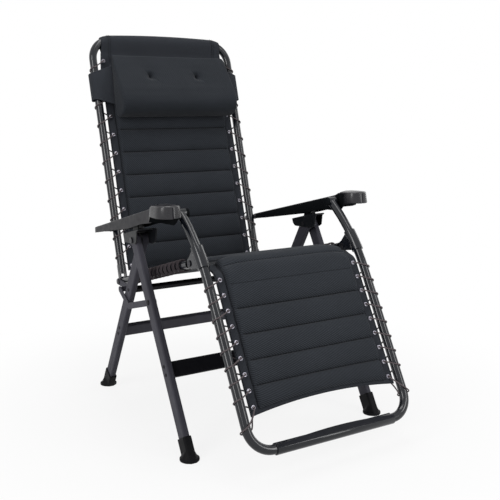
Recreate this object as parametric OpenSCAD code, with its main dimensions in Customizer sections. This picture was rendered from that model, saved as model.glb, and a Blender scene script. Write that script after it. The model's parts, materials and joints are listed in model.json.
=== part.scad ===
// Folding zero gravity recliner: flat-tube legs, laced round-tube frames, quilted pads and moulded armrests.
// Millimetres. +Z up, the front of the chair faces -Y, the floor is Z = 0.

/* [Legs] */
// How far the leg pivot stands behind the origin
leg_pivot_y = 38; // [20:1:60]
// Height of the leg pivot
leg_pivot_z = 543; // [500:1:590]
// Half the distance between the front and rear feet
leg_spread = 326; // [300:1:380]
// Width of a leg tube, seen from the side
leg_w = 40; // [34:1:44]
// Thickness of a leg tube
leg_t = 18; // [14:0.5:20]
// Wall of the flat tubes
leg_wall = 1.6; // [1:0.1:3]
// Distance from the round tubes' axes out to the front leg's centre
leg_out = 57.5; // [53.5:0.5:75]
// Gap between the planes of the front and rear legs, where the stay runs
leg_gap = 5; // [4.5:0.1:8]
// Diameter of the pivot pin in the knuckle
leg_pin_d = 10; // [8:0.5:12]
// Diameter of a foot's sole
sole_d = 54; // [52:1:70]
// Height of the front cross bar's centre
front_bar_z = 210; // [180:1:240]
// Height of the rear cross bar's centre
rear_bar_z = 221; // [190:1:250]
// Drop from the leg pivot to the rear upper bar's centre
upper_bar_drop = 171; // [171:1:200]
// Width of the two large cross bars
bar_w = 45; // [36:1:50]
// Width of the rear upper bar
upper_bar_w = 18; // [18:1:28]
// Thickness of the cross bars
bar_t = 15; // [10:1:17]

/* [Round frames] */
// Diameter of the round tubes
tube_d = 25; // [22:0.5:26]
// Wall of the round tubes
tube_wall = 1.5; // [1:0.1:2.5]
// Distance of the round tubes' axes from the middle of the chair
frame_x = 252.5; // [230:0.5:280]
// How far the hip pivot lies behind the leg pivot
hip_behind = 250; // [240:1:262]
// Drop from the leg pivot to the hip pivot
hip_drop = 177; // [163:1:193]
// Distance between the hip and knee pivots
seat_len = 521; // [500:1:540]
// Rise of the seat towards the knees, in degrees
seat_tilt = 16.4; // [12:0.1:20]
// Lean of the back from upright, in degrees
back_lean = 16.4; // [12:0.1:20]
// Distance from the hip pivot to the axis of the top bar
back_len = 800; // [780:1:840]
// Bend radius of the top corners
top_r = 68; // [45:1:75]
// Lean of the leg rest's straight tubes from upright, in degrees
leg_lean = 29.8; // [27:0.1:32]
// Drop from the knee pivot to where the leg rest's tubes become straight
knee_drop = 57; // [50:1:65]
// How far in front of the knee pivot the leg rest's tubes become straight
knee_ahead = 95; // [90:1:100]
// Straight length of the leg rest down to the foot bar's axis
foot_len = 420; // [400:1:440]
// Bend radius of the foot bar's corners
foot_r = 62; // [60:1:100]
// Thickness of the eyes and lugs' inner gap at the hip and knee
eye_t = 10; // [8:0.5:12]
// Thickness of the lug plates
lug_t = 4; // [3:0.5:5]
// Outer radius of the eyes and lugs
lug_r = 15; // [13:0.5:17]
// Diameter of the hip and knee pins
hinge_pin_d = 10; // [8:0.5:11]

/* [Armrests] */
// Distance from the round tubes' axes out to an armrest's inner face
arm_out = 22.5; // [21.5:0.5:27.5]
// Width of the hand grip
arm_w = 72; // [62:1:76]
// Width of the armrest at its rear tip
arm_tail_w = 46; // [40:1:56]
// Wall of the armrest's shell
arm_wall = 3; // [2:0.5:4]
// Distance from the hip pivot up the back to the armrest's rear pivot
arm_rear_at = 171; // [166:1:176]
// How far the armrest's front pivot lies behind the knee pivot
arm_front_behind = 72; // [68:1:76]
// Height of the armrest's front pivot above the knee pivot
arm_front_rise = 124; // [120:1:128]
// Diameter of the armrest bolts
arm_bolt_d = 8; // [6:0.5:9]
// Diameter of the round knobs on the front bolts
knob_d = 27; // [22:1:32]
// Number of notches in the position rack
rack_notches = 7; // [4:1:9]

/* [Slings and pads] */
// Distance from the round tubes' axes in to a sling's edge
sling_in = 21.5; // [20.5:0.5:28.5]
// Thickness of a sling
sling_t = 4; // [3:0.5:5]
// Distance from a sling's edge in to its eyelets
eyelet_in = 13; // [11:0.5:16]
// Distance from a sling's edge in to its quilted pad
pad_in = 28; // [26:1:41]
// Height of the pads at the crown of a channel
pad_t = 20; // [14:1:24]
// Diameter of the elastic cord
cord_d = 4; // [3:0.5:4.5]
// Pitch of the lacing on the back
back_pitch = 62; // [57:1:63]
// Pitch of the lacing on the leg rest
leg_pitch = 42; // [38:1:43]
// Width of the head cushion
head_w = 432; // [400:1:440]
// Height of the head cushion
head_h = 212; // [180:1:216]
// Depth of the head cushion at its crown
head_t = 84; // [60:1:96]
// Distance from the top bar down to the head cushion's middle
head_below = 168; // [168:1:220]
// Height of the band that holds the head cushion
band_h = 92; // [90:1:130]

/* [Clearances] */
// Radial clearance of the running pins
run_fit = 0.05; // [0.02:0.01:0.09]
// Clearance of pieces that are slipped over each other
slip_fit = 0.15; // [0.05:0.05:0.3]
// Clearance of soft pieces to their neighbours
soft_fit = 0.3; // [0.2:0.1:0.8]
// Radial room of the front armrest bolt, which wanders as the chair reclines
wander = 3.2; // [3:0.1:4]

/* [Hidden] */
$fn = 48;

// Colours of the finish
tube_grey = "#3f4248";
leg_grey = "#3a3c41";
plastic_black = "#26282b";
cloth_dark = "#2c3137";
cord_brown = "#4a4547";
steel = "#9a9da1";

// Places worked out from the driving sizes, as [y, z] in the side view
sides = [-1, 1];
tube_r = tube_d / 2;
hip_z = leg_pivot_z - hip_drop;
upper_bar_z = leg_pivot_z - upper_bar_drop;
front_leg_x = frame_x + leg_out;
arm_in_x = frame_x + arm_out;
sling_half = frame_x - sling_in;
eyelet_x = sling_half - eyelet_in;
pad_half = sling_half - pad_in;
leg_angle = atan(leg_spread / leg_pivot_z);
leg_len = norm([leg_spread, leg_pivot_z]);
rear_leg_x = front_leg_x - leg_t - leg_gap;
leg_pivot = [leg_pivot_y, leg_pivot_z];
hip = [leg_pivot_y + hip_behind, hip_z];
knee = hip + seat_len * [-cos(seat_tilt), sin(seat_tilt)];
straight_top = knee + [-knee_ahead, -knee_drop];
arm_rear = hip + arm_rear_at * [sin(back_lean), cos(back_lean)];
arm_front = knee + [arm_front_behind, arm_front_rise];
big = 2000;

// Leg rest's bent top: an arc that leaves the straight tube and ends at the armrest's front bolt
rise = arm_front - straight_top;
arc_half_turn = atan2(rise[0], rise[1]) - leg_lean;
arc_r = norm(rise) / (2 * sin(arc_half_turn));
arc_turn = 2 * arc_half_turn;

// Leg frames: local Z runs from the leg pivot to the foot, local X stays the chair's X
module leg_place(side, x, dir) {
  translate([side * x, leg_pivot_y, leg_pivot_z]) rotate([180 + dir * leg_angle, 0, 0]) children();
}

// Panel frames: local Z runs along the panel from its lower pivot, local Y is the side one sits on
module back_place() {
  translate([0, hip[0], hip[1]]) rotate([-back_lean, 0, 0]) rotate([0, 0, 180]) children();
}
module seat_place() {
  translate([0, hip[0], hip[1]]) rotate([90 - seat_tilt, 0, 0]) children();
}
module leg_rest_place() {
  translate([0, straight_top[0], straight_top[1]]) rotate([180 - leg_lean, 0, 0]) children();
}
// A flat shape in the side view, drawn as [y, z], between x0 and x1
module side_plate(x0, x1) {
  translate([min(x0, x1), 0, 0]) rotate([90, 0, 90]) linear_extrude(abs(x1 - x0)) children();
}
module x_rod(p, x0, x1, d) {
  side_plate(x0, x1) translate(p) circle(d = d);
}
// A straight bar between two points of the side view, and one with round ends
module bar2d(a, b, w) {
  along = b - a;
  translate(a) rotate(atan2(along[1], along[0])) translate([0, -w / 2]) square([norm(along), w]);
}
module link2d(a, b, w) {
  bar2d(a, b, w);
  translate(a) circle(d = w);
  translate(b) circle(d = w);
}
module round_rect(w, h, r) {
  square([w - 2 * r, h], center = true);
  square([w, h - 2 * r], center = true);
  for (sx = sides, sy = sides) translate([sx * (w / 2 - r), sy * (h / 2 - r)]) circle(r);
}
module flat_tube(t, w, len) {
  edge_r = min(t, w) / 4;
  linear_extrude(len) difference() {
    round_rect(t, w, edge_r);
    round_rect(t - 2 * leg_wall, w - 2 * leg_wall, edge_r - leg_wall / 2);
  }
}
module tube(len) {
  difference() {
    cylinder(d = tube_d, h = len);
    translate([0, 0, -1]) cylinder(d = tube_d - 2 * tube_wall, h = len + 2);
  }
}
module tube_arc(bend_r, turn, d, wall) {
  rotate_extrude(angle = turn, $fn = 96) translate([bend_r, 0]) difference() {
    circle(d = d);
    if (wall > 0) circle(d = d - 2 * wall);
  }
}

// A closed skin over a row of rings, each with the same number of points
module skin(rings) {
  n = len(rings[0]);
  last = len(rings) - 1;
  points = [for (ring = rings) each ring];
  walls = [for (i = [0 : last - 1], j = [0 : n - 1])
    each [[i * n + j, i * n + (j + 1) % n, (i + 1) * n + (j + 1) % n],
          [i * n + j, (i + 1) * n + (j + 1) % n, (i + 1) * n + j]]];
  start_cap = [for (j = [1 : n - 2]) [0, j + 1, j]];
  end_cap = [for (j = [1 : n - 2]) [last * n, last * n + j, last * n + j + 1]];
  polyhedron(points, concat(walls, start_cap, end_cap));
}

// Elastic lacing: one cord that winds round a tube and through each eyelet in turn.
// Its strands climb outwards on the side that face names: 1 is where one sits, -1 behind
cord_sides = 6;
wrap_step = 50;
wrap_r = (tube_r + cord_d / 2 + soft_fit) / cos(wrap_step / 2);
hole_lift = sling_t / 2 + cord_d / 2 + 1;
stub = cord_d;
function turn_points(side, face, z, pitch) = concat(
  [[side * eyelet_x, face * hole_lift, z]],
  [for (k = [-2 : 2]) [side * (frame_x + wrap_r * cos(k * wrap_step)),
    -face * wrap_r * sin(k * wrap_step), z + pitch * (0.5 + 0.07 * k)]],
  [[side * eyelet_x, -face * hole_lift, z + pitch]]);
function lacing_route(side, face, z0, pitch, turns) = concat(
  [[side * eyelet_x, -face * (hole_lift + stub), z0]],
  [for (i = [0 : turns - 1]) each turn_points(side, face, z0 + i * pitch, pitch)],
  [[side * eyelet_x, face * (hole_lift + stub), z0 + turns * pitch]]);
function unit(v) = v / norm(v);
function heading(route, i) = unit(route[min(i + 1, len(route) - 1)] - route[max(i - 1, 0)]);
function cord_ring(p, t) = let (u = unit(cross([0, 0, 1], t)), w = cross(t, u), step = 360 / cord_sides)
  [for (j = [0 : cord_sides - 1]) p + cord_d / 2 * (cos(step * j) * u + sin(step * j) * w)];
function self_gap(route) = min([for (i = [0 : len(route) - 1], j = [i + 5 : 1 : len(route) - 1])
  norm(route[i] - route[j])]) - cord_d;
module lacing(name, side, face, z0, pitch, turns) {
  route = lacing_route(side, face, z0, pitch, turns);
  echo(str(name, " least gap to itself, mm: ", self_gap(route)));
  color(cord_brown) skin([for (i = [0 : len(route) - 1]) cord_ring(route[i], heading(route, i))]);
}

// Slings: a hemmed sheet with a row of eyelet holes along each side
module sling(z0, z1, first, pitch, turns) {
  color(cloth_dark) difference() {
    translate([-sling_half, -sling_t / 2, z0]) cube([2 * sling_half, sling_t, z1 - z0]);
    for (side = sides, i = [0 : turns])
      translate([side * eyelet_x, 0, first + i * pitch]) rotate([90, 0, 0])
        cylinder(d = cord_d + 2 * slip_fit, h = 2 * sling_t, center = true);
  }
}

// Quilted pads: sewn channels across, crowned between the seams and drawn in at their sides
pad_samples = 4;
pad_columns = 8;
pad_rim = 3;
side_draw = 5;
function swell(f) = sqrt(max(0, sin(180 * f)));
function pad_ring(f) = let (
    half = pad_half - side_draw * (1 - swell(f)),
    crown = pad_rim + (pad_t - pad_rim) * (0.25 + 0.75 * swell(f)),
    base = sling_t / 2 + soft_fit)
  concat(
    [for (c = [0 : pad_columns]) let (u = 2 * c / pad_columns - 1)
      [half * u, base + pad_rim + (crown - pad_rim) * pow(1 - pow(abs(u), 4), 0.5)]],
    [[half, base], [-half, base]]);
// Rings above the bend lie on a roll of radius roll_r, the others on the flat panel
function laid(p, z, bend, roll_r) = z >= bend ? [p[0], p[1], z]
  : let (turn = (bend - z) / roll_r * 180 / PI, r = roll_r + roll_lift + p[1])
    [p[0], r * cos(turn) - roll_r, bend - r * sin(turn)];
module quilted_pad(z0, z1, channels, bend, roll_r) {
  step = (z1 - z0) / channels;
  rows = channels * pad_samples;
  color(cloth_dark) skin([for (i = [0 : rows])
    [for (p = pad_ring((i % pad_samples) / pad_samples))
      laid(p, z0 + step * i / pad_samples, bend, roll_r)]]);
}

// Legs
boot_top = 60;
boot_wall = 3.5;
leg_end = leg_len - 30;
bar_screw_d = 5;
bar_screw_apart = 24;
screw_head_t = 1;
function along_leg(z) = (leg_pivot_z - z) / cos(leg_angle);
module leg_tube() {
  difference() {
    union() {
      flat_tube(leg_t, leg_w, leg_end);
      translate([-leg_t / 2, 0, 0]) rotate([0, 90, 0]) cylinder(d = leg_w, h = leg_t);
      linear_extrude(leg_w) round_rect(leg_t - 2 * leg_wall + 0.2, leg_w - 2 * leg_wall + 0.2, 2);
    }
    translate([-leg_t, 0, 0]) rotate([0, 90, 0]) cylinder(d = leg_pin_d + 2 * run_fit, h = 2 * leg_t);
    children();
  }
}
module screw_holes(z, d) {
  for (k = sides) translate([-leg_t, 0, along_leg(z) + k * bar_screw_apart / 2]) rotate([0, 90, 0])
    cylinder(d = d, h = 2 * leg_t);
}
module front_leg(side) {
  color(leg_grey) leg_place(side, front_leg_x, -1) leg_tube() {
    screw_holes(front_bar_z, bar_screw_d + 2 * slip_fit);
    translate([-leg_t, 0, along_leg(stay_front[1])]) rotate([0, 90, 0])
      cylinder(d = rivet_d + 2 * run_fit, h = 2 * leg_t);
  }
}
module rear_leg(side) {
  color(leg_grey) leg_place(side, rear_leg_x, 1) leg_tube() {
    screw_holes(rear_bar_z, bar_screw_d + 2 * slip_fit);
    screw_holes_upper();
  }
}
module screw_holes_upper() {
  translate([-leg_t, 0, along_leg(upper_bar_z)]) rotate([0, 90, 0])
    cylinder(d = bar_screw_d + 2 * slip_fit, h = 2 * leg_t);
}
// A cross bar between the inner faces of two legs, its faces square to the legs
module cross_bar(x, dir, z, w) {
  inner = x - leg_t / 2;
  leg_place(1, 0, dir) translate([-inner, 0, along_leg(z)]) rotate([0, 90, 0]) rotate([0, 0, 90])
    flat_tube(bar_t, w, 2 * inner);
}
module cross_bar_screws(x, dir, z, apart) {
  for (side = sides, k = apart > 0 ? sides : [0]) leg_place(side, x, dir)
    translate([0, 0, along_leg(z) + k * apart / 2]) rotate([0, side * 90, 0]) {
      translate([0, 0, -leg_t / 2]) cylinder(d = bar_screw_d, h = leg_t);
      translate([0, 0, leg_t / 2]) cylinder(d = 2 * bar_screw_d, h = screw_head_t);
    }
}
// A moulded boot: a sleeve on the leg's end that turns upright over a round sole
module boot(side, x, dir) {
  foot_y = leg_pivot_y + dir * leg_spread;
  sole_t = 7;
  color(plastic_black) difference() {
    union() {
      intersection() {
        leg_place(side, x, dir) translate([0, 0, leg_len - boot_top]) linear_extrude(boot_top + sole_d)
          round_rect(leg_t + 2 * boot_wall, leg_w + 2 * boot_wall, 6);
        translate([side * x, foot_y, 0]) cylinder(d = 3 * sole_d, h = 2 * boot_top);
      }
      translate([side * x, foot_y, 0]) cylinder(d = sole_d, h = sole_t);
      translate([side * x, foot_y, sole_t]) cylinder(d1 = sole_d - 8, d2 = sole_d / 2, h = 18);
    }
    leg_place(side, x, dir) linear_extrude(leg_end + slip_fit)
      round_rect(leg_t + 2 * slip_fit, leg_w + 2 * slip_fit, leg_t / 4);
    translate([-big / 2, -big / 2, -big]) cube(big);
  }
}

// Stays: flat bars from the front legs, past the rear legs, to the hip pins
stay_w = 19;
stay_eye_d = 1.12 * stay_w;
stay_bend_d = 1.04 * stay_w;
stay_t = 3;
rivet_d = 8;
stay_gap = 0.5;
stay_x = front_leg_x - leg_t / 2 - stay_gap - stay_t;
stay_hip_x = frame_x + tube_r + 2;
stay_front = leg_pivot - 0.3 * [leg_spread, leg_pivot_z];
stay_dip = [leg_pivot_y + 0.293 * leg_spread, hip_z - 1.05 * leg_w];
stay_step = [hip[0] - 0.352 * hip_behind, hip_z - 0.2 * stay_w];
module stay(side) {
  step_inset = stay_t / 6;
  color(leg_grey) difference() {
    union() {
      side_plate(side * stay_x, side * (stay_x + stay_t)) {
        bar2d(stay_front, stay_dip, stay_w);
        bar2d(stay_dip, stay_step, stay_w);
        translate(stay_front) circle(d = stay_eye_d);
        translate(stay_dip) circle(d = stay_bend_d);
        translate(stay_step) circle(d = stay_bend_d);
      }
      side_plate(side * (stay_hip_x + step_inset), side * (stay_x + stay_t - step_inset)) translate(stay_step)
        square([stay_t, 0.84 * stay_w], center = true);
      side_plate(side * stay_hip_x, side * (stay_hip_x + stay_t)) {
        bar2d(stay_step, hip, stay_w);
        translate(stay_step) circle(d = stay_bend_d);
        translate(hip) circle(d = stay_eye_d);
      }
    }
    x_rod(stay_front, -big / 2, big / 2, rivet_d + 2 * run_fit);
    x_rod(hip, -big / 2, big / 2, hinge_pin_d + 2 * run_fit);
  }
}
module stay_rivets() {
  color(steel) for (side = sides) {
    outer = front_leg_x + leg_t / 2;
    x_rod(stay_front, side * (stay_x - 0.6), side * outer, rivet_d);
    x_rod(stay_front, side * outer, side * (outer + 2), 1.9 * rivet_d);
  }
}

// Knuckles: moulded saddles that hold both leg tops and slide in the armrest
cheek_t = 4;
cheek_gap = 1;
knuckle_in = rear_leg_x - leg_t / 2 - cheek_gap;
knuckle_out = front_leg_x + leg_t / 2 + cheek_gap;
knuckle_slope = 0.26;
knuckle_top = 0.675 * leg_w;
bridge_t = 5.5;
post_y = [-0.5 * leg_w, 0.55 * leg_w];
post_x = [knuckle_in + 14, knuckle_out - 10];
post_rise = 0.62 * leg_w;
knuckle_front = 1.75 * leg_w;
knuckle_front_outer = leg_w;
knuckle_rear = 1.6 * leg_w;
knuckle_drop = 0.3 * leg_w;
bridge_half = 1.2 * leg_w;
function bridge_line(y, drop) = [y, knuckle_top - drop - y * knuckle_slope];
module knuckle_outline(front) {
  translate(leg_pivot) polygon([bridge_line(-front, 4), [-0.89 * front, 0],
    [-0.57 * front, -0.7 * knuckle_drop], [0.72 * knuckle_rear, -knuckle_drop],
    [0.9 * knuckle_rear, -knuckle_drop / 3], bridge_line(knuckle_rear, 0),
    bridge_line(-min(front, bridge_half), 0)]);
}
module knuckle_bridge() {
  translate(leg_pivot) polygon([bridge_line(-bridge_half, 0), bridge_line(-bridge_half, bridge_t),
    bridge_line(bridge_half, bridge_t), bridge_line(bridge_half, 0)]);
}
module knuckle(side) {
  color(plastic_black) difference() {
    union() {
      side_plate(side * knuckle_in, side * (knuckle_in - cheek_t)) knuckle_outline(knuckle_front);
      side_plate(side * knuckle_out, side * (knuckle_out + cheek_t)) knuckle_outline(knuckle_front_outer);
      difference() {
        side_plate(side * (knuckle_in - cheek_t), side * (knuckle_out + cheek_t)) knuckle_bridge();
        x_rod(leg_pivot, -big / 2, big / 2, leg_w + 2);
      }
      side_plate(side * post_x[0], side * post_x[1]) translate(leg_pivot)
        polygon([[post_y[0], knuckle_top - 2 - post_y[0] * knuckle_slope],
          [post_y[1], knuckle_top - 2 - post_y[1] * knuckle_slope], [post_y[1] - 5, knuckle_top + post_rise],
          [post_y[0] + 5, knuckle_top + post_rise + 6]]);
    }
    x_rod(leg_pivot, -big / 2, big / 2, leg_pin_d + 2 * run_fit);
  }
}
module knuckle_pins() {
  color(steel) for (side = sides) {
    x_rod(leg_pivot, side * (knuckle_in - cheek_t), side * (knuckle_out + cheek_t), leg_pin_d);
    x_rod(leg_pivot, side * (knuckle_out + cheek_t), side * (knuckle_out + cheek_t + 3), 1.8 * leg_pin_d);
    x_rod(leg_pivot, side * (knuckle_in - cheek_t), side * (knuckle_in - cheek_t - 2), 1.5 * leg_pin_d);
  }
}

// Hip and knee hinges: the seat rail's eye turns between two lugs
lug_gap = 2.5;
eye_bar_w = tube_d - 1.6 * tube_wall;
lug_in = eye_t / 2 + lug_gap;
eye_reach = 24;
module hip_pins() {
  color(steel) for (side = sides) {
    inner = frame_x - lug_in - lug_t;
    x_rod(hip, side * inner, side * (stay_hip_x + stay_t), hinge_pin_d);
    x_rod(hip, side * inner, side * (inner - 3), 1.7 * hinge_pin_d);
    x_rod(hip, side * (stay_hip_x + stay_t), side * (stay_hip_x + stay_t + 3), 1.7 * hinge_pin_d);
  }
}
module knee_pins() {
  color(steel) for (side = sides) {
    inner = frame_x - lug_in - lug_t;
    outer = frame_x + lug_in + lug_t;
    x_rod(knee, side * inner, side * outer, hinge_pin_d);
    x_rod(knee, side * inner, side * (inner - 3), 1.7 * hinge_pin_d);
    x_rod(knee, side * outer, side * (outer + 3), 1.7 * hinge_pin_d);
  }
}
module seat_rail(side) {
  eye_x = [side * (frame_x - eye_t / 2), side * (frame_x + eye_t / 2)];
  along = [-cos(seat_tilt), sin(seat_tilt)];
  color(tube_grey) difference() {
    union() {
      seat_place() translate([side * frame_x, 0, eye_reach]) tube(seat_len - 2 * eye_reach);
      side_plate(eye_x[0], eye_x[1]) {
        link2d(hip, hip + along * eye_reach * 1.6, eye_bar_w);
        link2d(knee, knee - along * eye_reach * 1.6, eye_bar_w);
        translate(hip) circle(lug_r);
        translate(knee) circle(lug_r);
      }
    }
    x_rod(hip, -big / 2, big / 2, hinge_pin_d + 2 * run_fit);
    x_rod(knee, -big / 2, big / 2, hinge_pin_d + 2 * run_fit);
  }
}

// Seat panel
hem_start = 32;
seat_first = 0.2 * seat_len;
seat_turns = 13;
seat_pitch = 0.0537 * seat_len;
module seat_sling() {
  seat_place() sling(hem_start, seat_len - 8, seat_first, seat_pitch, seat_turns);
}
module seat_pad() {
  seat_place() quilted_pad(hem_start + 2, seat_len - 22, 6, -big, 1);
}
module seat_lacing(name, side) {
  seat_place() lacing(name, side, 1, seat_first, seat_pitch, seat_turns);
}

// Back panel
back_first = arm_rear_at - 2 * back_pitch;
back_turns = 11;
top_hem = 44;
sling_top = back_len - top_hem;
back_pad_start = hem_start + 8;
back_channels = 9;
channel_w = (sling_top - back_pad_start - 39) / back_channels;
loop_half = frame_x - top_r - 4;
loop_wall = 3.2;
module back_frame() {
  lug_outer = lug_in + lug_t;
  color(tube_grey) difference() {
    union() {
      back_place() {
        for (side = sides) translate([side * frame_x, 0, eye_reach]) tube(back_len - top_r - eye_reach);
        translate([-(frame_x - top_r), 0, back_len]) rotate([0, 90, 0]) tube(2 * (frame_x - top_r));
        for (side = sides) translate([side * (frame_x - top_r), 0, back_len - top_r])
          rotate([90, 0, side > 0 ? 0 : 180]) tube_arc(top_r, 90, tube_d, tube_wall);
      }
      for (side = sides, k = sides)
        side_plate(side * (frame_x + k * lug_in), side * (frame_x + k * lug_outer)) {
          translate(hip) circle(lug_r);
          link2d(hip, hip + 2 * eye_reach * [sin(back_lean), cos(back_lean)], 1.2 * lug_r);
        }
    }
    for (side = sides) {
      x_rod(hip, side * (frame_x - tube_d), side * (frame_x + tube_d), hinge_pin_d + 2 * run_fit);
      x_rod(arm_rear, side * (frame_x - tube_d), side * (frame_x + tube_d), arm_bolt_d + 2 * run_fit);
    }
  }
}
module back_sling() {
  back_place() {
    sling(hem_start, sling_top, back_first, back_pitch, back_turns);
    color(cloth_dark) difference() {
      union() {
        translate([-loop_half, -sling_t / 2, sling_top]) cube([2 * loop_half, sling_t, back_len - sling_top]);
        top_sleeve(tube_r + soft_fit + loop_wall);
      }
      top_sleeve(tube_r + soft_fit);
    }
  }
}
// The sling's top is sewn into a sleeve that runs over the top bar
module top_sleeve(r) {
  translate([-loop_half, 0, back_len]) rotate([0, 90, 0]) cylinder(r = r, h = 2 * loop_half);
}
module back_pad() {
  pad_end = back_pad_start + back_channels * channel_w;
  back_place() quilted_pad(back_pad_start, pad_end, back_channels, -big, 1);
}
module back_lacing(name, side) {
  back_place() lacing(name, side, -1, back_first, back_pitch, back_turns);
}
arm_boss_t = 12;
module arm_rear_bolts() {
  head_x = frame_x - tube_r;
  color(steel) for (side = sides) {
    x_rod(arm_rear, side * (head_x - 4), side * head_x, 1.7 * arm_bolt_d);
    x_rod(arm_rear, side * head_x, side * (arm_in_x + arm_boss_t), arm_bolt_d);
    x_rod(arm_rear, side * (frame_x + tube_r + 0.2), side * (arm_in_x - 0.5), 2 * arm_bolt_d);
  }
}

// Leg rest
leg_first = -26;
leg_turns = 8;
leg_hem = 20;
roll_lift = 0.8;
// The leg panel leaves its flat plane above the first eyelets and rolls over the knee towards the seat
knee_roll = 60;
roll_start = -36;
roll_turn = 64;
roll_len = knee_roll * roll_turn * PI / 180;
module bent_top(side, d, wall) {
  leg_rest_place() translate([side * frame_x, -arc_r, 0]) rotate([0, -90, 0]) rotate([0, 0, 90])
    tube_arc(arc_r, arc_turn, d, wall);
}
module leg_frame() {
  eye_x0 = frame_x - tube_r;
  color(tube_grey) difference() {
    union() {
      leg_rest_place() {
        for (side = sides) translate([side * frame_x, 0, 0]) tube(foot_len - foot_r);
        translate([-(frame_x - foot_r), 0, foot_len]) rotate([0, 90, 0]) tube(2 * (frame_x - foot_r));
        for (side = sides) translate([side * (frame_x - foot_r), 0, foot_len - foot_r])
          rotate([90, 0, side > 0 ? 0 : 180]) tube_arc(foot_r, 90, tube_d, tube_wall);
      }
      for (side = sides) {
        bent_top(side, tube_d, tube_wall);
        x_rod(arm_front, side * eye_x0, side * (frame_x + tube_r), tube_d + 2);
      }
    }
    for (side = sides)
      x_rod(arm_front, side * (eye_x0 - 5), side * (frame_x + 2 * tube_r), arm_bolt_d + 2 * run_fit);
  }
}
bracket_len = 64;
bracket_back = 96;
module knee_bracket(side) {
  outer_x = lug_in + lug_t;
  tube_side = straight_top + bracket_back * [sin(leg_lean + 5), cos(leg_lean + 5)];
  run = bracket_len / 2 * [sin(leg_lean + 10), cos(leg_lean + 10)];
  color(tube_grey) difference() {
    union() {
      for (k = sides) side_plate(side * (frame_x + k * lug_in), side * (frame_x + k * outer_x)) {
        translate(knee) circle(lug_r);
        polygon([knee + [6, 13], knee + [2, -14], tube_side - run, tube_side + run]);
      }
      intersection() {
        bent_top(side, tube_d + 2 * lug_t, 0);
        side_plate(side * (frame_x - outer_x - 6), side * (frame_x + outer_x + 6))
          polygon([tube_side - run + [20, -14], tube_side - run - [34, -24],
            tube_side + run - [34, -24], tube_side + run + [20, -14]]);
      }
    }
    bent_top(side, tube_d + 2 * slip_fit, 0);
    x_rod(knee, -big / 2, big / 2, hinge_pin_d + 2 * run_fit);
    x_rod(knee, side * (frame_x - lug_in), side * (frame_x + lug_in), 2 * lug_r + 6);
    seat_place() translate([side * frame_x, 0, seat_len - 5 * eye_reach])
      cylinder(d = tube_d + 6, h = 4.4 * eye_reach);
  }
}
module leg_sling() {
  leg_rest_place() {
    sling(roll_start, leg_panel_end, leg_first, leg_pitch, leg_turns);
    color(cloth_dark) translate([sling_half, -knee_roll, roll_start]) rotate([0, -90, 0]) rotate([0, 0, 90])
      linear_extrude(2 * sling_half) difference() {
        intersection() {
          circle(knee_roll + sling_t / 2, $fn = 96);
          polygon([[0, 0], [2 * knee_roll, 0], 4 * knee_roll * [cos(roll_turn / 2), sin(roll_turn / 2)],
            2 * knee_roll * [cos(roll_turn), sin(roll_turn)]]);
        }
        circle(knee_roll - sling_t / 2, $fn = 96);
      }
  }
}
leg_panel_end = leg_first + leg_turns * leg_pitch + leg_hem;
module leg_pad() {
  leg_rest_place() quilted_pad(roll_start - roll_len + 2, leg_panel_end - 2, 7, roll_start, knee_roll);
}
module leg_lacing(name, side) {
  leg_rest_place() lacing(name, side, 1, leg_first, leg_pitch, leg_turns);
}
// The cover on the foot bar: a sleeve with a heel ridge, highest in the middle, and clip bands underneath
plate_wall = 3;
plate_half = frame_x - foot_r - plate_wall;
ridge_h = 16;
ridge_t = 5;
ridge_steps = 12;
module foot_plate() {
  color(plastic_black) leg_rest_place() difference() {
    union() {
      translate([-plate_half, 0, foot_len]) rotate([0, 90, 0])
        cylinder(r = tube_r + plate_wall, h = 2 * plate_half);
      translate([0, tube_r + plate_wall, foot_len]) rotate([90, 0, 0]) linear_extrude(ridge_t)
        polygon(concat([[plate_half - 1, 0], [1 - plate_half, 0]],
          [for (i = [0 : ridge_steps]) let (u = 2 * i / ridge_steps - 1)
            [(plate_half - 1) * u, -0.5 * tube_r - (0.5 * tube_r + ridge_h) * (1 - u * u)]]));
    }
    translate([-big / 2, 0, foot_len]) rotate([0, 90, 0]) cylinder(r = tube_r + slip_fit, h = big);
    for (k = [-1, 0, 1])
      translate([k * plate_half * 0.55 - plate_half * 0.22, -2 * tube_d, foot_len - big / 2])
        cube([plate_half * 0.44, 2 * tube_d - 4, big]);
  }
}
module arm_front_knobs() {
  color(plastic_black) for (side = sides) {
    face = frame_x - tube_r;
    x_rod(arm_front, side * (face - 9), side * face, knob_d);
    x_rod(arm_front, side * face, side * (arm_in_x + arm_wall + 8), arm_bolt_d);
    x_rod(arm_front, side * (arm_in_x + arm_wall + 2), side * (arm_in_x + arm_wall + 8), 2 * arm_bolt_d + 4);
  }
}

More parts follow.
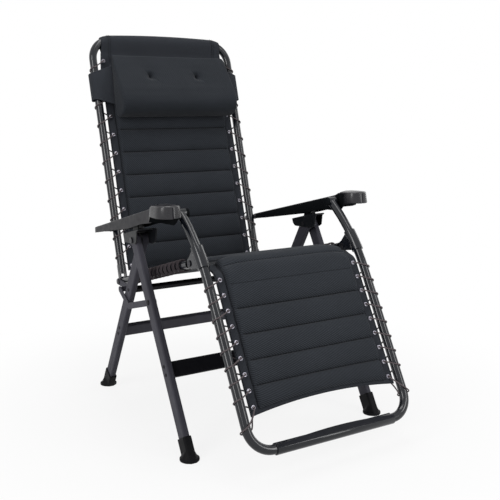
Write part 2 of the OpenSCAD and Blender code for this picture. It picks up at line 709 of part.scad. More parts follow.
// Armrests: hollow moulded shells, open below, with a thick hand grip in front
arm_roof = 22;
arm_lip = 26;
grip_heel = 28;
grip_edge = 36;
grip_crown = 44;
nose_round = 6;
nose_r = arm_w / 2;
nose_at = arm_front[0] - 42;
nose = nose_at - nose_r;
blade_step = 8;
tail_cut = 12;
arm_tip = arm_rear + [22, 3];
roof_rear = arm_rear + [6, 9.5];
roof_front = arm_front + [0, arm_roof];
roof_slope = (roof_front[1] - roof_rear[1]) / (roof_front[0] - roof_rear[0]);
function arm_profile(inset) = [
  arm_tip + [-inset, -inset], roof_rear - [0, inset], roof_front + [20, 20 * roof_slope - inset],
  arm_front + [8, grip_heel - inset], arm_front + [-30, grip_edge - inset],
  arm_front + [-60, grip_crown - 1 - inset],
  [nose + inset + nose_round, arm_front[1] + grip_crown - inset],
  [nose + inset, arm_front[1] + grip_edge - inset], [nose + inset, arm_front[1] + 12],
  [nose + inset + nose_round, arm_front[1] + 4], arm_front + [-28, -9],
  arm_front + [-12, 10 - arm_lip], arm_front - [0, arm_lip], arm_front + [80, -10 - arm_lip],
  leg_pivot + [0, 34], arm_rear + [6, -8], arm_tip + [-inset, -7]];
// Seen from above: a round-nosed grip, a little wider than the blade that narrows to the tail
module arm_plan(inset) {
  grip_y = arm_front[0] - 1;
  tail_y = arm_tip[0] + 1 - inset;
  inner = arm_in_x + inset;
  translate([inner, nose_at]) square([arm_w - 2 * inset, grip_y - inset - nose_at]);
  translate([arm_in_x + nose_r, nose_at]) circle(nose_r - inset);
  polygon([[inner, grip_y - inset - 1], [arm_in_x + arm_w - blade_step - inset, grip_y - inset - 1],
    [arm_in_x + arm_tail_w - inset, tail_y - tail_cut], [arm_in_x + arm_tail_w - inset - tail_cut, tail_y],
    [inner + tail_cut / 2, tail_y], [inner, tail_y - tail_cut / 2]]);
}
module arm_body(inset, drop) {
  intersection() {
    side_plate(arm_in_x - 5, arm_in_x + arm_w + 5) union() {
      polygon(arm_profile(inset));
      if (drop > 0) translate([0, -drop]) polygon(arm_profile(inset));
    }
    linear_extrude(big) arm_plan(inset);
  }
}
module armrest(side) {
  color(plastic_black) mirror([side < 0 ? 1 : 0, 0, 0]) difference() {
    union() {
      difference() {
        arm_body(0, 0);
        arm_body(arm_wall, 12);
      }
      x_rod(arm_rear, arm_in_x, arm_in_x + arm_boss_t, 2.3 * arm_bolt_d);
    }
    x_rod(arm_rear, arm_in_x - 5, arm_in_x + arm_boss_t + 1, arm_bolt_d + 2 * run_fit);
    x_rod(arm_front, arm_in_x - 5, arm_in_x + arm_wall + 2, arm_bolt_d + 2 * wander);
  }
}
// Position rack under the armrest's roof, with notches for the knuckle's post
rack_w = 14;
rack_depth = 7;
rack_pitch = 13;
module rack(side) {
  along = unit(roof_front - roof_rear);
  over_pivot = roof_rear - [0, arm_wall] + along * (roof_rear[0] - leg_pivot_y) / -along[0];
  rack_len = rack_notches * rack_pitch;
  x0 = post_x[0] + 4;
  color(steel) side_plate(side * x0, side * (x0 + rack_w))
    translate(over_pivot) rotate(atan2(along[1], along[0])) translate([0, slip_fit]) difference() {
      square([rack_len, rack_depth]);
      for (i = [0 : rack_notches - 1])
        translate([(i + 0.5) * rack_pitch, rack_depth]) circle(d = rack_pitch / 2, $fn = 32);
    }
}

// Head cushion and the band that carries it on the back's tubes
band_t = 2;
band_front = sling_t / 2 + soft_fit + pad_t + soft_fit;
head_front = band_front + band_t + soft_fit;
head_at = back_len - head_below;
band_at = head_at + 8;
head_rows = 16;
head_columns = 20;
tuft_u = 0.4;
tuft_up = 18;
tuft_r = 22;
tuft_depth = 20;
// How far a sewn tuft draws the front in, from its distance across and along
function tuft_draw(across, along) = tuft_depth * exp(-(pow(across, 2) + pow(along, 2)) / pow(tuft_r, 2));
function head_ring(f) = let (
    v = 2 * f - 1,
    up = head_h * (f - 0.5),
    fat = head_t * pow(sin(180 * pow(f, 0.55)), 0.6),
    half = head_w / 2 - 12 * pow(abs(v), 6))
  concat(
    [for (c = [0 : head_columns]) let (
        u = 2 * c / head_columns - 1,
        crown = fat * (0.3 + 0.7 * pow(1 - pow(abs(u), 8), 0.5)),
        draw = tuft_draw(half * (abs(u) - tuft_u), up - tuft_up))
      [half * u, head_front + 4 + max(0, crown - draw), up]],
    [[half, head_front, head_h * (f - 0.5)], [-half, head_front, head_h * (f - 0.5)]]);
module head_cushion() {
  edge = 0.02;
  color(cloth_dark) back_place() translate([0, 0, head_at])
    skin([for (i = [0 : head_rows]) head_ring(edge + (1 - 2 * edge) * i / head_rows)]);
}
band_x = frame_x + wrap_r + cord_d / 2 + soft_fit;
band_back = wrap_r + cord_d / 2 + soft_fit;
module head_band() {
  color(cloth_dark) back_place() translate([0, 0, band_at - band_h / 2]) difference() {
    translate([-band_x - band_t, -band_back - band_t, 0])
      cube([2 * (band_x + band_t), band_front + band_back + 2 * band_t, band_h]);
    translate([-band_x, -band_back, -1]) cube([2 * band_x, band_front + band_back, band_h + 2]);
  }
}

front_leg(-1);  // front_leg_left
front_leg(1);  // front_leg_right
color(leg_grey) cross_bar(front_leg_x, -1, front_bar_z, bar_w);  // front_crossbar
color(steel) cross_bar_screws(front_leg_x, -1, front_bar_z, bar_screw_apart);  // front_crossbar_screws
boot(-1, front_leg_x, -1);  // front_boot_left
boot(1, front_leg_x, -1);  // front_boot_right
stay(-1);  // stay_left
stay(1);  // stay_right
stay_rivets();
knuckle(-1);  // knuckle_left
knuckle(1);  // knuckle_right
knuckle_pins();
hip_pins();
rear_leg(-1);  // rear_leg_left
rear_leg(1);  // rear_leg_right
color(leg_grey) cross_bar(rear_leg_x, 1, rear_bar_z, bar_w);  // rear_crossbar
color(leg_grey) cross_bar(rear_leg_x, 1, upper_bar_z, upper_bar_w);  // rear_upper_bar
color(steel) {  // rear_crossbar_screws
  cross_bar_screws(rear_leg_x, 1, rear_bar_z, bar_screw_apart);
  cross_bar_screws(rear_leg_x, 1, upper_bar_z, 0);
}
boot(-1, rear_leg_x, 1);  // rear_boot_left
boot(1, rear_leg_x, 1);  // rear_boot_right
seat_rail(-1);  // seat_rail_left
seat_rail(1);  // seat_rail_right
seat_sling();
seat_pad();
seat_lacing("seat_lacing_left", -1);  // seat_lacing_left
seat_lacing("seat_lacing_right", 1);  // seat_lacing_right
knee_pins();
back_frame();
back_sling();
back_pad();
back_lacing("back_lacing_left", -1);  // back_lacing_left
back_lacing("back_lacing_right", 1);  // back_lacing_right
arm_rear_bolts();
leg_frame();
knee_bracket(-1);  // knee_bracket_left
knee_bracket(1);  // knee_bracket_right
leg_sling();
leg_pad();
leg_lacing("leg_lacing_left", -1);  // leg_lacing_left
leg_lacing("leg_lacing_right", 1);  // leg_lacing_right
foot_plate();
arm_front_knobs();
armrest(-1);  // armrest_left
armrest(1);  // armrest_right
rack(-1);  // rack_left
rack(1);  // rack_right
head_cushion();
head_band();
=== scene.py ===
import bpy
import bmesh
import json
import math
import numpy as np
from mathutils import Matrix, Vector

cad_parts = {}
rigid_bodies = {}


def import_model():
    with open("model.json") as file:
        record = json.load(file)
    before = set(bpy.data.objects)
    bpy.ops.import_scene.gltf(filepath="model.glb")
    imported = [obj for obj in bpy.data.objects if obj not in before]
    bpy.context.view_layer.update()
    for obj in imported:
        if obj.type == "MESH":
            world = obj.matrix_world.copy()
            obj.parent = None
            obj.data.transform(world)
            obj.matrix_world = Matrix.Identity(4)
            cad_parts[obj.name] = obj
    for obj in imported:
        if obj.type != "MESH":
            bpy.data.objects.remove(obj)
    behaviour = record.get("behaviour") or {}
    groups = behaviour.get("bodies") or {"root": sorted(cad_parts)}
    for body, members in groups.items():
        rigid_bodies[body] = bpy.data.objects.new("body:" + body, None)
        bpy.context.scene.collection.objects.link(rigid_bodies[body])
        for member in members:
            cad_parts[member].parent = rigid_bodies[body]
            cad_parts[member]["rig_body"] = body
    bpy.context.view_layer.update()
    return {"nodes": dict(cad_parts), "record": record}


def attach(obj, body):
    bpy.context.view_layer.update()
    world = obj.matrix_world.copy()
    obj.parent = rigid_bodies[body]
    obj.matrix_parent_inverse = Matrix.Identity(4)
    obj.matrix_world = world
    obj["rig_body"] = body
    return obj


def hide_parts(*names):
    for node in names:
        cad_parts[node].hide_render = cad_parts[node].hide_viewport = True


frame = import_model()
NODES = frame["nodes"]
SLOTS = {row["node"]: row["material_slot"] for row in frame["record"]["subparts"]}

TAU = 2 * math.pi
MM = 1e-3
SIDES = (("left", -1), ("right", 1))


def add_object(name, data):
    obj = bpy.data.objects.new(name, data)
    bpy.context.scene.collection.objects.link(obj)
    return obj


def face_along(obj, direction):
    obj.rotation_mode = "QUATERNION"
    obj.rotation_quaternion = Vector(direction).to_track_quat("-Z", "Y")


# Camera, fitted to the photo
camera = add_object("camera", bpy.data.cameras.new("camera"))
camera.location = (-1.1721, -2.0317, 0.9332)
face_along(camera, (0.5065, 0.8420, -0.1859))
camera.data.sensor_width = 36
camera.data.lens = 56.4
bpy.context.scene.camera = camera


# Places and sizes of the CAD source, in millimetres. A place on a panel is (x, n, s):
# x across, n towards the sitter, s along the panel.
HIP = np.array([288.0, 366.0])
LEAN = TILT = math.radians(16.4)
SEAT_LEN = 521.0
KNEE = HIP + SEAT_LEN * np.array([-math.cos(TILT), math.sin(TILT)])
LEG_START = KNEE + np.array([-95.0, -57.0])
LEG_LEAN = math.radians(29.8)
BACK_LEN, TOP_R = 800.0, 68.0
FOOT_BAR = 420.0
TUBE_X, TUBE_R = 252.5, 12.5
SLING_HALF, PAD_HALF = 231.0, 203.0
EYE_X, EYE_R = 218.0, 3.0
CORD_R = 2.0
WRAP_R = TUBE_R + CORD_R + 0.2
# Each panel's lacing as first eyelet, pitch and turns
BACK_LACE = (47.0, 62.0, 11)
SEAT_LACE = (104.2, 27.98, 13)
LEG_LACE = (-26.0, 42.0, 8)
# The leg panel rolls over the knee above ROLL_AT, and its upper corners hang by CORNER_DROP
ROLL_R, ROLL_AT = 60.0, -36.0
CORNER_DROP, CORNER_X, CORNER_S = 13.0, (150, 228), (30, 75)


def ease(a, b, v):
    """A smooth step from 0 at a to 1 at b."""
    t = np.clip((np.asarray(v, float) - a) / (b - a), 0, 1)
    return t * t * (3 - 2 * t)


def back_map(p):
    x, n, s = np.asarray(p, float).T
    y = HIP[0] - n * math.cos(LEAN) + s * math.sin(LEAN)
    z = HIP[1] + n * math.sin(LEAN) + s * math.cos(LEAN)
    return np.stack([x, y, z], 1) * MM


def seat_map(p):
    x, n, s = np.asarray(p, float).T
    y = HIP[0] + n * math.sin(TILT) - s * math.cos(TILT)
    z = HIP[1] + n * math.cos(TILT) + s * math.sin(TILT)
    return np.stack([x, y, z], 1) * MM


def leg_map(p):
    x, n, s = np.asarray(p, float).T
    turn = np.clip((ROLL_AT - s) / ROLL_R, 0, None)
    rolled = s < ROLL_AT
    n = n - CORNER_DROP * ease(*CORNER_X, np.abs(x)) * ease(*CORNER_S, -s)
    n2 = np.where(rolled, (ROLL_R + n) * np.cos(turn) - ROLL_R, n)
    s2 = np.where(rolled, ROLL_AT - (ROLL_R + n) * np.sin(turn), s)
    y = LEG_START[0] - n2 * math.cos(LEG_LEAN) - s2 * math.sin(LEG_LEAN)
    z = LEG_START[1] + n2 * math.sin(LEG_LEAN) - s2 * math.cos(LEG_LEAN)
    return np.stack([x, y, z], 1) * MM


def leg_coords(p):
    """n and s on the leg panel's flat part, from places in the frame in millimetres."""
    y, z = p[:, 1] - LEG_START[0], p[:, 2] - LEG_START[1]
    n = -y * math.cos(LEG_LEAN) + z * math.sin(LEG_LEAN)
    s = -y * math.sin(LEG_LEAN) - z * math.cos(LEG_LEAN)
    return n, s


# Materials
BUMP_DISTANCE = 0.0006
PATCH_SCALE, GLOSS_SCALE = 10, 55
WAVE_SCALE = 314.16  # over a pitch in millimetres gives a wave of that pitch on UVs in metres


def add_node(tree, kind, **values):
    """A shader node with values set on its sockets."""
    node = tree.nodes.new("ShaderNode" + kind)
    for name, value in values.items():
        node.inputs[name].default_value = value
    return node


def new_material(name, base, rough, metallic=0.0, gleam=0.5):
    material = bpy.data.materials.new(name)
    material.use_nodes = True
    shader = material.node_tree.nodes["Principled BSDF"]
    shader.inputs["Base Color"].default_value = (*base, 1)
    shader.inputs["Roughness"].default_value = rough
    shader.inputs["Metallic"].default_value = metallic
    shader.inputs["Specular IOR Level"].default_value = gleam
    return material, material.node_tree, shader


def noise_map(tree, scale, detail=3.0):
    where = add_node(tree, "TexCoord")
    noise = add_node(tree, "TexNoise", Scale=scale, Detail=detail)
    tree.links.new(where.outputs["Object"], noise.inputs["Vector"])
    return noise.outputs["Fac"]


def ramp(tree, source, low, high, start=0.3, end=0.7):
    node = add_node(tree, "ValToRGB")
    ends = node.color_ramp.elements
    ends[0].position, ends[1].position = start, end
    ends[0].color, ends[1].color = (*low, 1), (*high, 1)
    tree.links.new(source, node.inputs["Fac"])
    return node.outputs["Color"]


def mix_colours(tree, first, second, share, blend="MIX"):
    node = add_node(tree, "MixRGB", Fac=share)
    node.blend_type = blend
    tree.links.new(first, node.inputs["Color1"])
    tree.links.new(second, node.inputs["Color2"])
    return node.outputs["Color"]


def bump(tree, shader, height, strength):
    node = add_node(tree, "Bump", Strength=strength, Distance=BUMP_DISTANCE)
    tree.links.new(height, node.inputs["Height"])
    tree.links.new(node.outputs["Normal"], shader.inputs["Normal"])


def shades(base, low, high):
    return tuple(c * low for c in base), tuple(c * high for c in base)


def hard(name, base, rough, metallic=0.0, gleam=0.5, grain=700, depth=0.14):
    """Coated metal and moulded plastic: a little uneven in colour, gloss and surface."""
    material, tree, shader = new_material(name, base, rough, metallic, gleam)
    colour = ramp(tree, noise_map(tree, PATCH_SCALE), *shades(base, 0.9, 1.13))
    tree.links.new(colour, shader.inputs["Base Color"])
    gloss = ramp(tree, noise_map(tree, GLOSS_SCALE), (rough - 0.05,) * 3, (rough + 0.06,) * 3)
    tree.links.new(gloss, shader.inputs["Roughness"])
    bump(tree, shader, noise_map(tree, grain, 2), depth)
    return material


def woven(name, base, pitch, low=0.66, high=1.36, depth=0.5):
    """Twill on the cloth's own metres, which are its UVs: strong ribs one way, weak ones across."""
    material, tree, shader = new_material(name, base, 0.88, gleam=0.14)
    shader.inputs["Sheen Weight"].default_value = 0.06
    shader.inputs["Sheen Roughness"].default_value = 0.5
    where = add_node(tree, "TexCoord")
    ribs = []
    for degrees, size in ((-34, pitch), (50, pitch * 0.7)):
        turned = add_node(tree, "Mapping", Rotation=(0, 0, math.radians(degrees)))
        tree.links.new(where.outputs["UV"], turned.inputs["Vector"])
        wave = add_node(tree, "TexWave", Scale=WAVE_SCALE / size, Distortion=0.6, Detail=1)
        wave.bands_direction = "Y"
        tree.links.new(turned.outputs["Vector"], wave.inputs["Vector"])
        ribs.append(wave.outputs["Fac"])
    cross = mix_colours(tree, *ribs, 0.3)
    weave = ramp(tree, cross, *shades(base, low, high), 0.1, 0.9)
    patch = ramp(tree, noise_map(tree, 8, 4), (0.88,) * 3, (1.0,) * 3)
    colour = mix_colours(tree, weave, patch, 1, "MULTIPLY")
    tree.links.new(colour, shader.inputs["Base Color"])
    bump(tree, shader, cross, depth)
    return material


MAT = {
    # by the record's slots
    "round_tube": hard("tube_coat", (0.0075, 0.009, 0.013), 0.12, gleam=0.42, depth=0.02),
    "flat_tube": hard("leg_coat", (0.054, 0.053, 0.066), 0.5, gleam=0.1),
    "arm_plastic": hard("arm_moulding", (0.0125, 0.0122, 0.0152), 0.42, gleam=0.1,
                        grain=520, depth=0.05),
    "black_plastic": hard("black_moulding", (0.008, 0.009, 0.011), 0.36, gleam=0.16,
                          grain=520, depth=0.2),
    "steel": hard("dark_steel", (0.035, 0.035, 0.04), 0.36, metallic=0.8),
    "pad_cloth": woven("pad_weave", (0.028, 0.032, 0.039), 4.6, 0.5, 1.6, 0.7),
    "sling_cloth": woven("hem_weave", (0.031, 0.0345, 0.042), 3.2, 0.55, 1.5),
    "cord": woven("cord_braid", (0.125, 0.104, 0.110), 1.6),
    # for single pieces and faces
    # painted shade: the same cord at about half brightness, for the seat's lacing
    "seat_cord_shaded": woven("cord_braid_painted_shade", (0.062, 0.051, 0.056), 1.6),
    # painted shade: the pad cloth made about a quarter darker for the head cushion
    "bolster": woven("bolster_weave_painted_shade", (0.0205, 0.0238, 0.0295), 4.2, 0.6, 1.45, 0.6),
    # painted shade: a near-black copy of the pad cloth for the faces in the seam grooves
    "seam": woven("seam_painted_shade", (0.007, 0.008, 0.010), 2.0),
    "thread": woven("thread", (0.013, 0.015, 0.018), 1.0),
    "eyelet": hard("eyelet_metal", (0.27, 0.26, 0.30), 0.3, metallic=1.0),
    "grip": hard("grip_satin", (0.0135, 0.0132, 0.0165), 0.28, gleam=0.46,
                 grain=520, depth=0.03),
    # painted shade: near-black and matt, for the armrests' inner walls, lips and hollow undersides;
    # the front knobs take it too
    "painted_arm_shade_and_knobs": hard("painted_arm_shade_and_knobs", (0.006, 0.007, 0.008), 0.85, gleam=0.04),
    "foot_cover": hard("foot_cover", (0.011, 0.012, 0.016), 0.45, gleam=0.08),
    "boot": hard("boot_rubber", (0.006, 0.006, 0.007), 0.55, gleam=0.08),
    # near-black: the screws' and rivets' own colour, and painted shade on the front crossbar and
    # rear upper bar, which are leg tubing
    "screw_black_and_bar_shade": hard("screw_black_and_painted_bar_shade", (0.007, 0.007, 0.009), 0.5, gleam=0.08),
}
# The two bars get painted shade; the screws and rivets are dark in their own right
DARK_SCREWS_AND_SHADED_BARS = ("front_crossbar", "rear_upper_bar", "front_crossbar_screws",
               "rear_crossbar_screws", "stay_rivets")
for name, obj in NODES.items():
    obj.data.materials.clear()
    obj.data.materials.append(MAT["screw_black_and_bar_shade" if name in DARK_SCREWS_AND_SHADED_BARS else SLOTS[name]])


# Mesh helpers
def make(name, verts, faces, material, body, uv=None):
    """A smooth piece that rides on a body, with outward faces and UVs in metres."""
    mesh = bpy.data.meshes.new(name)
    mesh.from_pydata([tuple(v) for v in verts], [], [tuple(f) for f in faces])
    if uv is not None:
        layer = mesh.uv_layers.new(name="cloth_m")
        index = np.empty(len(mesh.loops), np.int32)
        mesh.loops.foreach_get("vertex_index", index)
        layer.data.foreach_set("uv", np.asarray(uv, np.float32)[index].ravel())
    bm = bmesh.new()
    bm.from_mesh(mesh)
    bmesh.ops.recalc_face_normals(bm, faces=bm.faces)
    bm.to_mesh(mesh)
    bm.free()
    mesh.polygons.foreach_set("use_smooth", [True] * len(mesh.polygons))
    mesh.materials.append(material)
    obj = add_object(name, mesh)
    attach(obj, body)
    return obj


def paint(obj, marked, material):
    """Gives the marked ones of the first faces a material of their own."""
    obj.data.materials.append(material)
    for i in np.nonzero(np.ravel(marked))[0]:
        obj.data.polygons[i].material_index = len(obj.data.materials) - 1


def subdivide(obj):
    smooth = obj.modifiers.new("smooth", "SUBSURF")
    smooth.levels = smooth.render_levels = 1


def slab(top, bottom, rows, cols, holes=None):
    """A closed skin between two grids of points, open where holes marks a cell."""
    n = rows * cols
    r, c = np.divmod(np.arange((rows - 1) * (cols - 1)), cols - 1)
    a = r * cols + c
    quads = np.stack([a, a + 1, a + cols + 1, a + cols], 1)
    if holes is not None:
        quads = quads[~holes.ravel()]
    edges = np.concatenate([quads[:, [i, (i + 1) % 4]] for i in range(4)]).tolist()
    known = set(map(tuple, edges))
    walls = [[v, u, u + n, v + n] for u, v in edges if (v, u) not in known]
    faces = quads.tolist() + (quads[:, ::-1] + n).tolist() + walls
    used = np.unique(quads)
    used = np.concatenate([used, used + n])
    place = np.full(2 * n, -1)
    place[used] = np.arange(len(used))
    verts = np.concatenate([top, bottom])
    return verts[used], [[place[i] for i in f] for f in faces], used % n


def loft_faces(n, m):
    """Faces of n rings of m points each, closed at both ends."""
    ids = np.arange(n * m).reshape(n, m)
    following = np.roll(ids, -1, axis=1)
    quads = np.stack([ids[:-1], following[:-1], following[1:], ids[1:]], 2)
    return quads.reshape(-1, 4).tolist() + [ids[0][::-1].tolist(), ids[-1].tolist()]


def tubes(paths, radius, sides):
    """Closed tubes along rows of points, as one set of vertices and faces."""
    verts, faces, start = [], [], 0
    angle = np.arange(sides) * TAU / sides
    cos, sin = np.cos(angle)[:, None], np.sin(angle)[:, None]
    for path in paths:
        heading = np.gradient(path, axis=0)
        heading /= np.linalg.norm(heading, axis=1)[:, None]
        u = np.cross(heading[0], [0.31, 0.87, 0.38])
        for p, d in zip(path, heading):
            u = u - d * (u @ d)
            u /= np.linalg.norm(u)
            verts.append(p + radius * (cos * u + sin * np.cross(d, u)))
        for i in range(len(path) - 1):
            a = start + i * sides
            for j in range(sides):
                k = (j + 1) % sides
                faces.append([a + j, a + k, a + sides + k, a + sides + j])
        faces.append([start + j for j in range(sides)][::-1])
        start += len(path) * sides
        faces.append([start - sides + j for j in range(sides)])
    return np.concatenate(verts), faces


def smooth_path(points, steps):
    """A Catmull-Rom curve through the points."""
    p = np.asarray(points, float)
    p = np.concatenate([[2 * p[0] - p[1]], p, [2 * p[-1] - p[-2]]])
    t = (np.arange(steps) / steps)[:, None]
    out = []
    for a, b, c, d in zip(p, p[1:], p[2:], p[3:]):
        square = 2 * a - 5 * b + 4 * c - d
        cube = 3 * b - a - 3 * c + d
        out.append(0.5 * (2 * b + (c - a) * t + square * t ** 2 + cube * t ** 3))
    return np.concatenate(out + [p[-2:-1]])


def run_of(path):
    """How far along the path each of its points lies."""
    return np.concatenate([[0], np.cumsum(np.linalg.norm(np.diff(path, axis=0), axis=1))])


def points_at(places, path):
    run = run_of(path)
    return np.stack([np.interp(places, run, column) for column in path.T], 1)


SIM_FRAMES = 20


def swell_cloth(points, faces, pinned, pressure, bending, cap):
    """Runs the cloth under pressure, and returns where each point comes to rest."""
    mesh = bpy.data.meshes.new("trial")
    mesh.from_pydata((points * MM).tolist(), [], faces)
    obj = add_object("trial", mesh)
    obj.vertex_groups.new(name="hold").add(np.nonzero(pinned)[0].tolist(), 1.0, "REPLACE")
    cloth = obj.modifiers.new("cloth", "CLOTH")
    settings = cloth.settings
    settings.quality = 6
    settings.mass = 0.3
    settings.tension_stiffness = settings.compression_stiffness = 25
    settings.shear_stiffness = 12
    settings.bending_stiffness = bending
    settings.vertex_group_mass = "hold"
    settings.use_pressure = True
    settings.uniform_pressure_force = pressure
    settings.effector_weights.gravity = 0
    cloth.collision_settings.use_collision = False
    cloth.point_cache.frame_start, cloth.point_cache.frame_end = 1, SIM_FRAMES
    for i in range(1, SIM_FRAMES + 1):
        bpy.context.scene.frame_set(i)
    done = obj.evaluated_get(bpy.context.evaluated_depsgraph_get()).to_mesh()
    co = np.empty(len(points) * 3, np.float32)
    done.vertices.foreach_get("co", co)
    bpy.data.objects.remove(obj)
    bpy.context.scene.frame_set(1)
    step = co.reshape(-1, 3).astype(float) / MM - points
    far = np.linalg.norm(step, axis=1)
    return points + step * np.minimum(1, cap / np.maximum(far, 1e-6))[:, None]


# Quilted pads
PAD_UNDER, PAD_OVER = 2.3, 3.2
PAD_ROUND = 10.0
PAD_PRESSURE, PAD_BENDING, PAD_CAP = 4.0, 6.0, 24
PAD_START, PAD_SIM_SHARE, PAD_LIMIT = 0.8, 0.35, 1.12
# Powers of a channel's arch
ARCH_FLAT, ARCH_FULL = 2.7, 0.58
# How far a seam lets go and draws the cloth in near the pad's sides, and the x where that starts
SEAM_LOOSE, LOOSE_FROM = 0.6, 192
DRAW_IN, DRAW_FROM = 2.5, 120
# Where the seams end, and the painted shade line in a seam's groove: its half width, and the least
# seam depth that gets it
SEAM_END, SEAM_SHADE_WIDE, SEAM_SHADE_DEEP = 198.0, 1.9, 0.6
# Gathers along the seams: a sum of waves, by length, that dies away over GATHER_REACH
GATHERS, GATHER_REACH, GATHER_TURN = (6.5, 9.0, 14.0, 23.0), 5.0, 6.283
# Rows as shares of a channel, and columns of one half, closer together at the seams and edges
FRACTIONS = np.array([0, .012, .035, .075, .14, .24, .37, .5, .63, .76, .86, .925, .965, .988])
HALF_COLUMNS = np.concatenate([np.linspace(0, 176, 25),
                               [181, 186, 190, 194, 197.5, 200, 202, PAD_HALF]])


def fill_channels(flat, rows, cols, on_seam, swell):
    """Blends the sewn form with a cloth run that is pinned at its seams and edges."""
    row, col = np.divmod(np.arange(rows * cols), cols)
    pinned = on_seam.ravel() | (row == 0) | (row == rows - 1) | (col == 0) | (col == cols - 1)
    a = np.arange(rows * cols).reshape(rows, cols)
    quads = np.stack([a[:-1, :-1], a[:-1, 1:], a[1:, 1:], a[1:, :-1]], 2)
    filled = swell_cloth(flat * [1, 1, PAD_START], quads.reshape(-1, 4).tolist(), pinned,
                         PAD_PRESSURE, PAD_BENDING, PAD_CAP)
    filled[:, 2] *= swell / max(np.percentile(filled[:, 2], 97), 1e-6)
    flat = (1 - PAD_SIM_SHARE) * flat + PAD_SIM_SHARE * filled
    flat[:, 2] = np.clip(flat[:, 2], 0, swell * PAD_LIMIT)
    return flat


def quilt(seams, depth, swell, pucker, seed):
    """The pad laid flat, as x, s and height, with the faces in its seam grooves marked for painted
    shade.
    """
    seams, depth = np.asarray(seams, float), np.asarray(depth, float)
    channels = len(seams) - 1
    channel = np.append(np.repeat(np.arange(channels), len(FRACTIONS)), channels - 1)
    f = np.append(np.tile(FRACTIONS, channels), 1.0)
    s = seams[channel] + f * np.diff(seams)[channel]
    nearest = np.where(f < 0.5, channel, channel + 1)
    away = np.abs(s - seams[nearest])
    sunk = depth[nearest][:, None]
    arch = ((1 - np.abs(2 * f - 1) ** ARCH_FLAT) ** ARCH_FULL)[:, None]

    x = np.concatenate([-HALF_COLUMNS[:0:-1], HALF_COLUMNS])
    rows, cols = len(s), len(x)
    sewn = sunk * (1 - SEAM_LOOSE * ease(LOOSE_FROM, PAD_HALF, np.abs(x)))
    edge = np.sqrt(1 - (1 - np.minimum(1, (PAD_HALF - np.abs(x)) / PAD_ROUND)) ** 2)
    ends = (ease(0, PAD_ROUND, s - seams[0]) * ease(0, PAD_ROUND, seams[-1] - s))[:, None]
    height = edge * (1 - sewn * (1 - arch)) * (0.1 + 0.9 * ends)
    drawn = DRAW_IN * (1 - arch) * sunk * ease(DRAW_FROM, PAD_HALF, np.abs(x)) * np.sign(x)
    flat = np.stack([x - drawn, np.repeat(s[:, None], cols, 1), height * swell], 2)
    flat = flat.reshape(-1, 3)
    on_seam = np.isin(f, (0, 1))[:, None] & (sewn > 0.5)
    flat = fill_channels(flat, rows, cols, on_seam, swell)

    noise = np.random.default_rng(seed)
    wave = np.zeros((len(seams), cols))
    for length in GATHERS:
        phase = noise.uniform(0, GATHER_TURN, (len(seams), 1))
        wave += np.sin(x / length * GATHER_TURN + phase)
    gather = pucker * wave[nearest] * np.exp(-away / GATHER_REACH)[:, None] * edge * sunk
    flat[:, 2] = np.maximum(flat[:, 2] + gather.ravel(), 0)
    # Faces in a deep seam's groove, marked for a painted shade line
    close = (away < SEAM_SHADE_WIDE) & (depth[nearest] > SEAM_SHADE_DEEP)
    inside = np.abs(x[1:] + x[:-1]) < 2 * SEAM_END
    return flat, rows, cols, (close[1:] & close[:-1])[:, None] & inside[None, :]


def pad(name, node, body, mapping, seams, depth, swell, pucker, seed, shape=None):
    """Makes a quilted pad, and returns the grid of points on its face."""
    flat, rows, cols, seam_shade_faces = quilt(seams, depth, swell, pucker, seed)
    uv = flat[:, :2] * MM
    if shape:
        flat = shape(flat)
    top = np.stack([flat[:, 0], PAD_OVER + flat[:, 2], flat[:, 1]], 1)
    under = top * [1, 0, 1] + [0, PAD_UNDER, 0]
    verts, faces, kept = slab(top, under, rows, cols)
    obj = make(name, mapping(verts), faces, MAT["pad_cloth"], body, uv[kept])
    # Paints shade into the seam grooves with a near-black cloth
    paint(obj, seam_shade_faces, MAT["seam"])
    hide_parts(node)
    subdivide(obj)
    return top.reshape(rows, cols, 3)


HOLLOW, HOLLOW_FROM, HOLLOW_RUN = 18, 210, 120


def concave(p):
    """Draws the lower edge of the leg panel up in the middle."""
    q = np.array(p, float)
    t = np.clip((q[:, 1] - HOLLOW_FROM) / HOLLOW_RUN, 0, 1)
    q[:, 1] -= HOLLOW * t * t * (1 - np.clip(np.abs(q[:, 0]) / SLING_HALF, 0, 1) ** 2)
    return q


BACK_SEAMS = [40, 114, 190, 268, 343, 420, 496, 571, 645, 717]
SEAT_SEAMS = [36, 113, 190, 267, 344, 421, 498]
LEG_SEAMS = [-101, -62, -8, 57, 126, 194, 260, 321]
LEG_DEPTH = [1, 0.5, 0.16, 1, 1, 1, 1, 1]
back_top = pad("back_quilt", "back_pad", "back", back_map,
               BACK_SEAMS, np.ones(10), 13.5, 0.12, 1)
seat_top = pad("seat_quilt", "seat_pad", "seat", seat_map,
               SEAT_SEAMS, np.ones(7), 13.5, 0.12, 2)
leg_top = pad("leg_quilt", "leg_pad", "leg_rest", leg_map,
              LEG_SEAMS, LEG_DEPTH, 14.0, 0.3, 3, concave)


# Slings
CLOTH_HALF, HEM_EXTRA, RIM_HALF = 1.1, 0.4, 0.7
EYE_CLEAR = EYE_R + 4.5
EYE_OFFSETS = np.array([-EYE_R - 3.4, -EYE_R - 0.2, -EYE_R * 0.74,
                        EYE_R * 0.74, EYE_R + 0.2, EYE_R + 3.4])
SLING_COLUMNS = np.concatenate([[-SLING_HALF, -SLING_HALF + 1.5], np.linspace(-204, 204, 37),
                                [SLING_HALF - 1.5, SLING_HALF]])
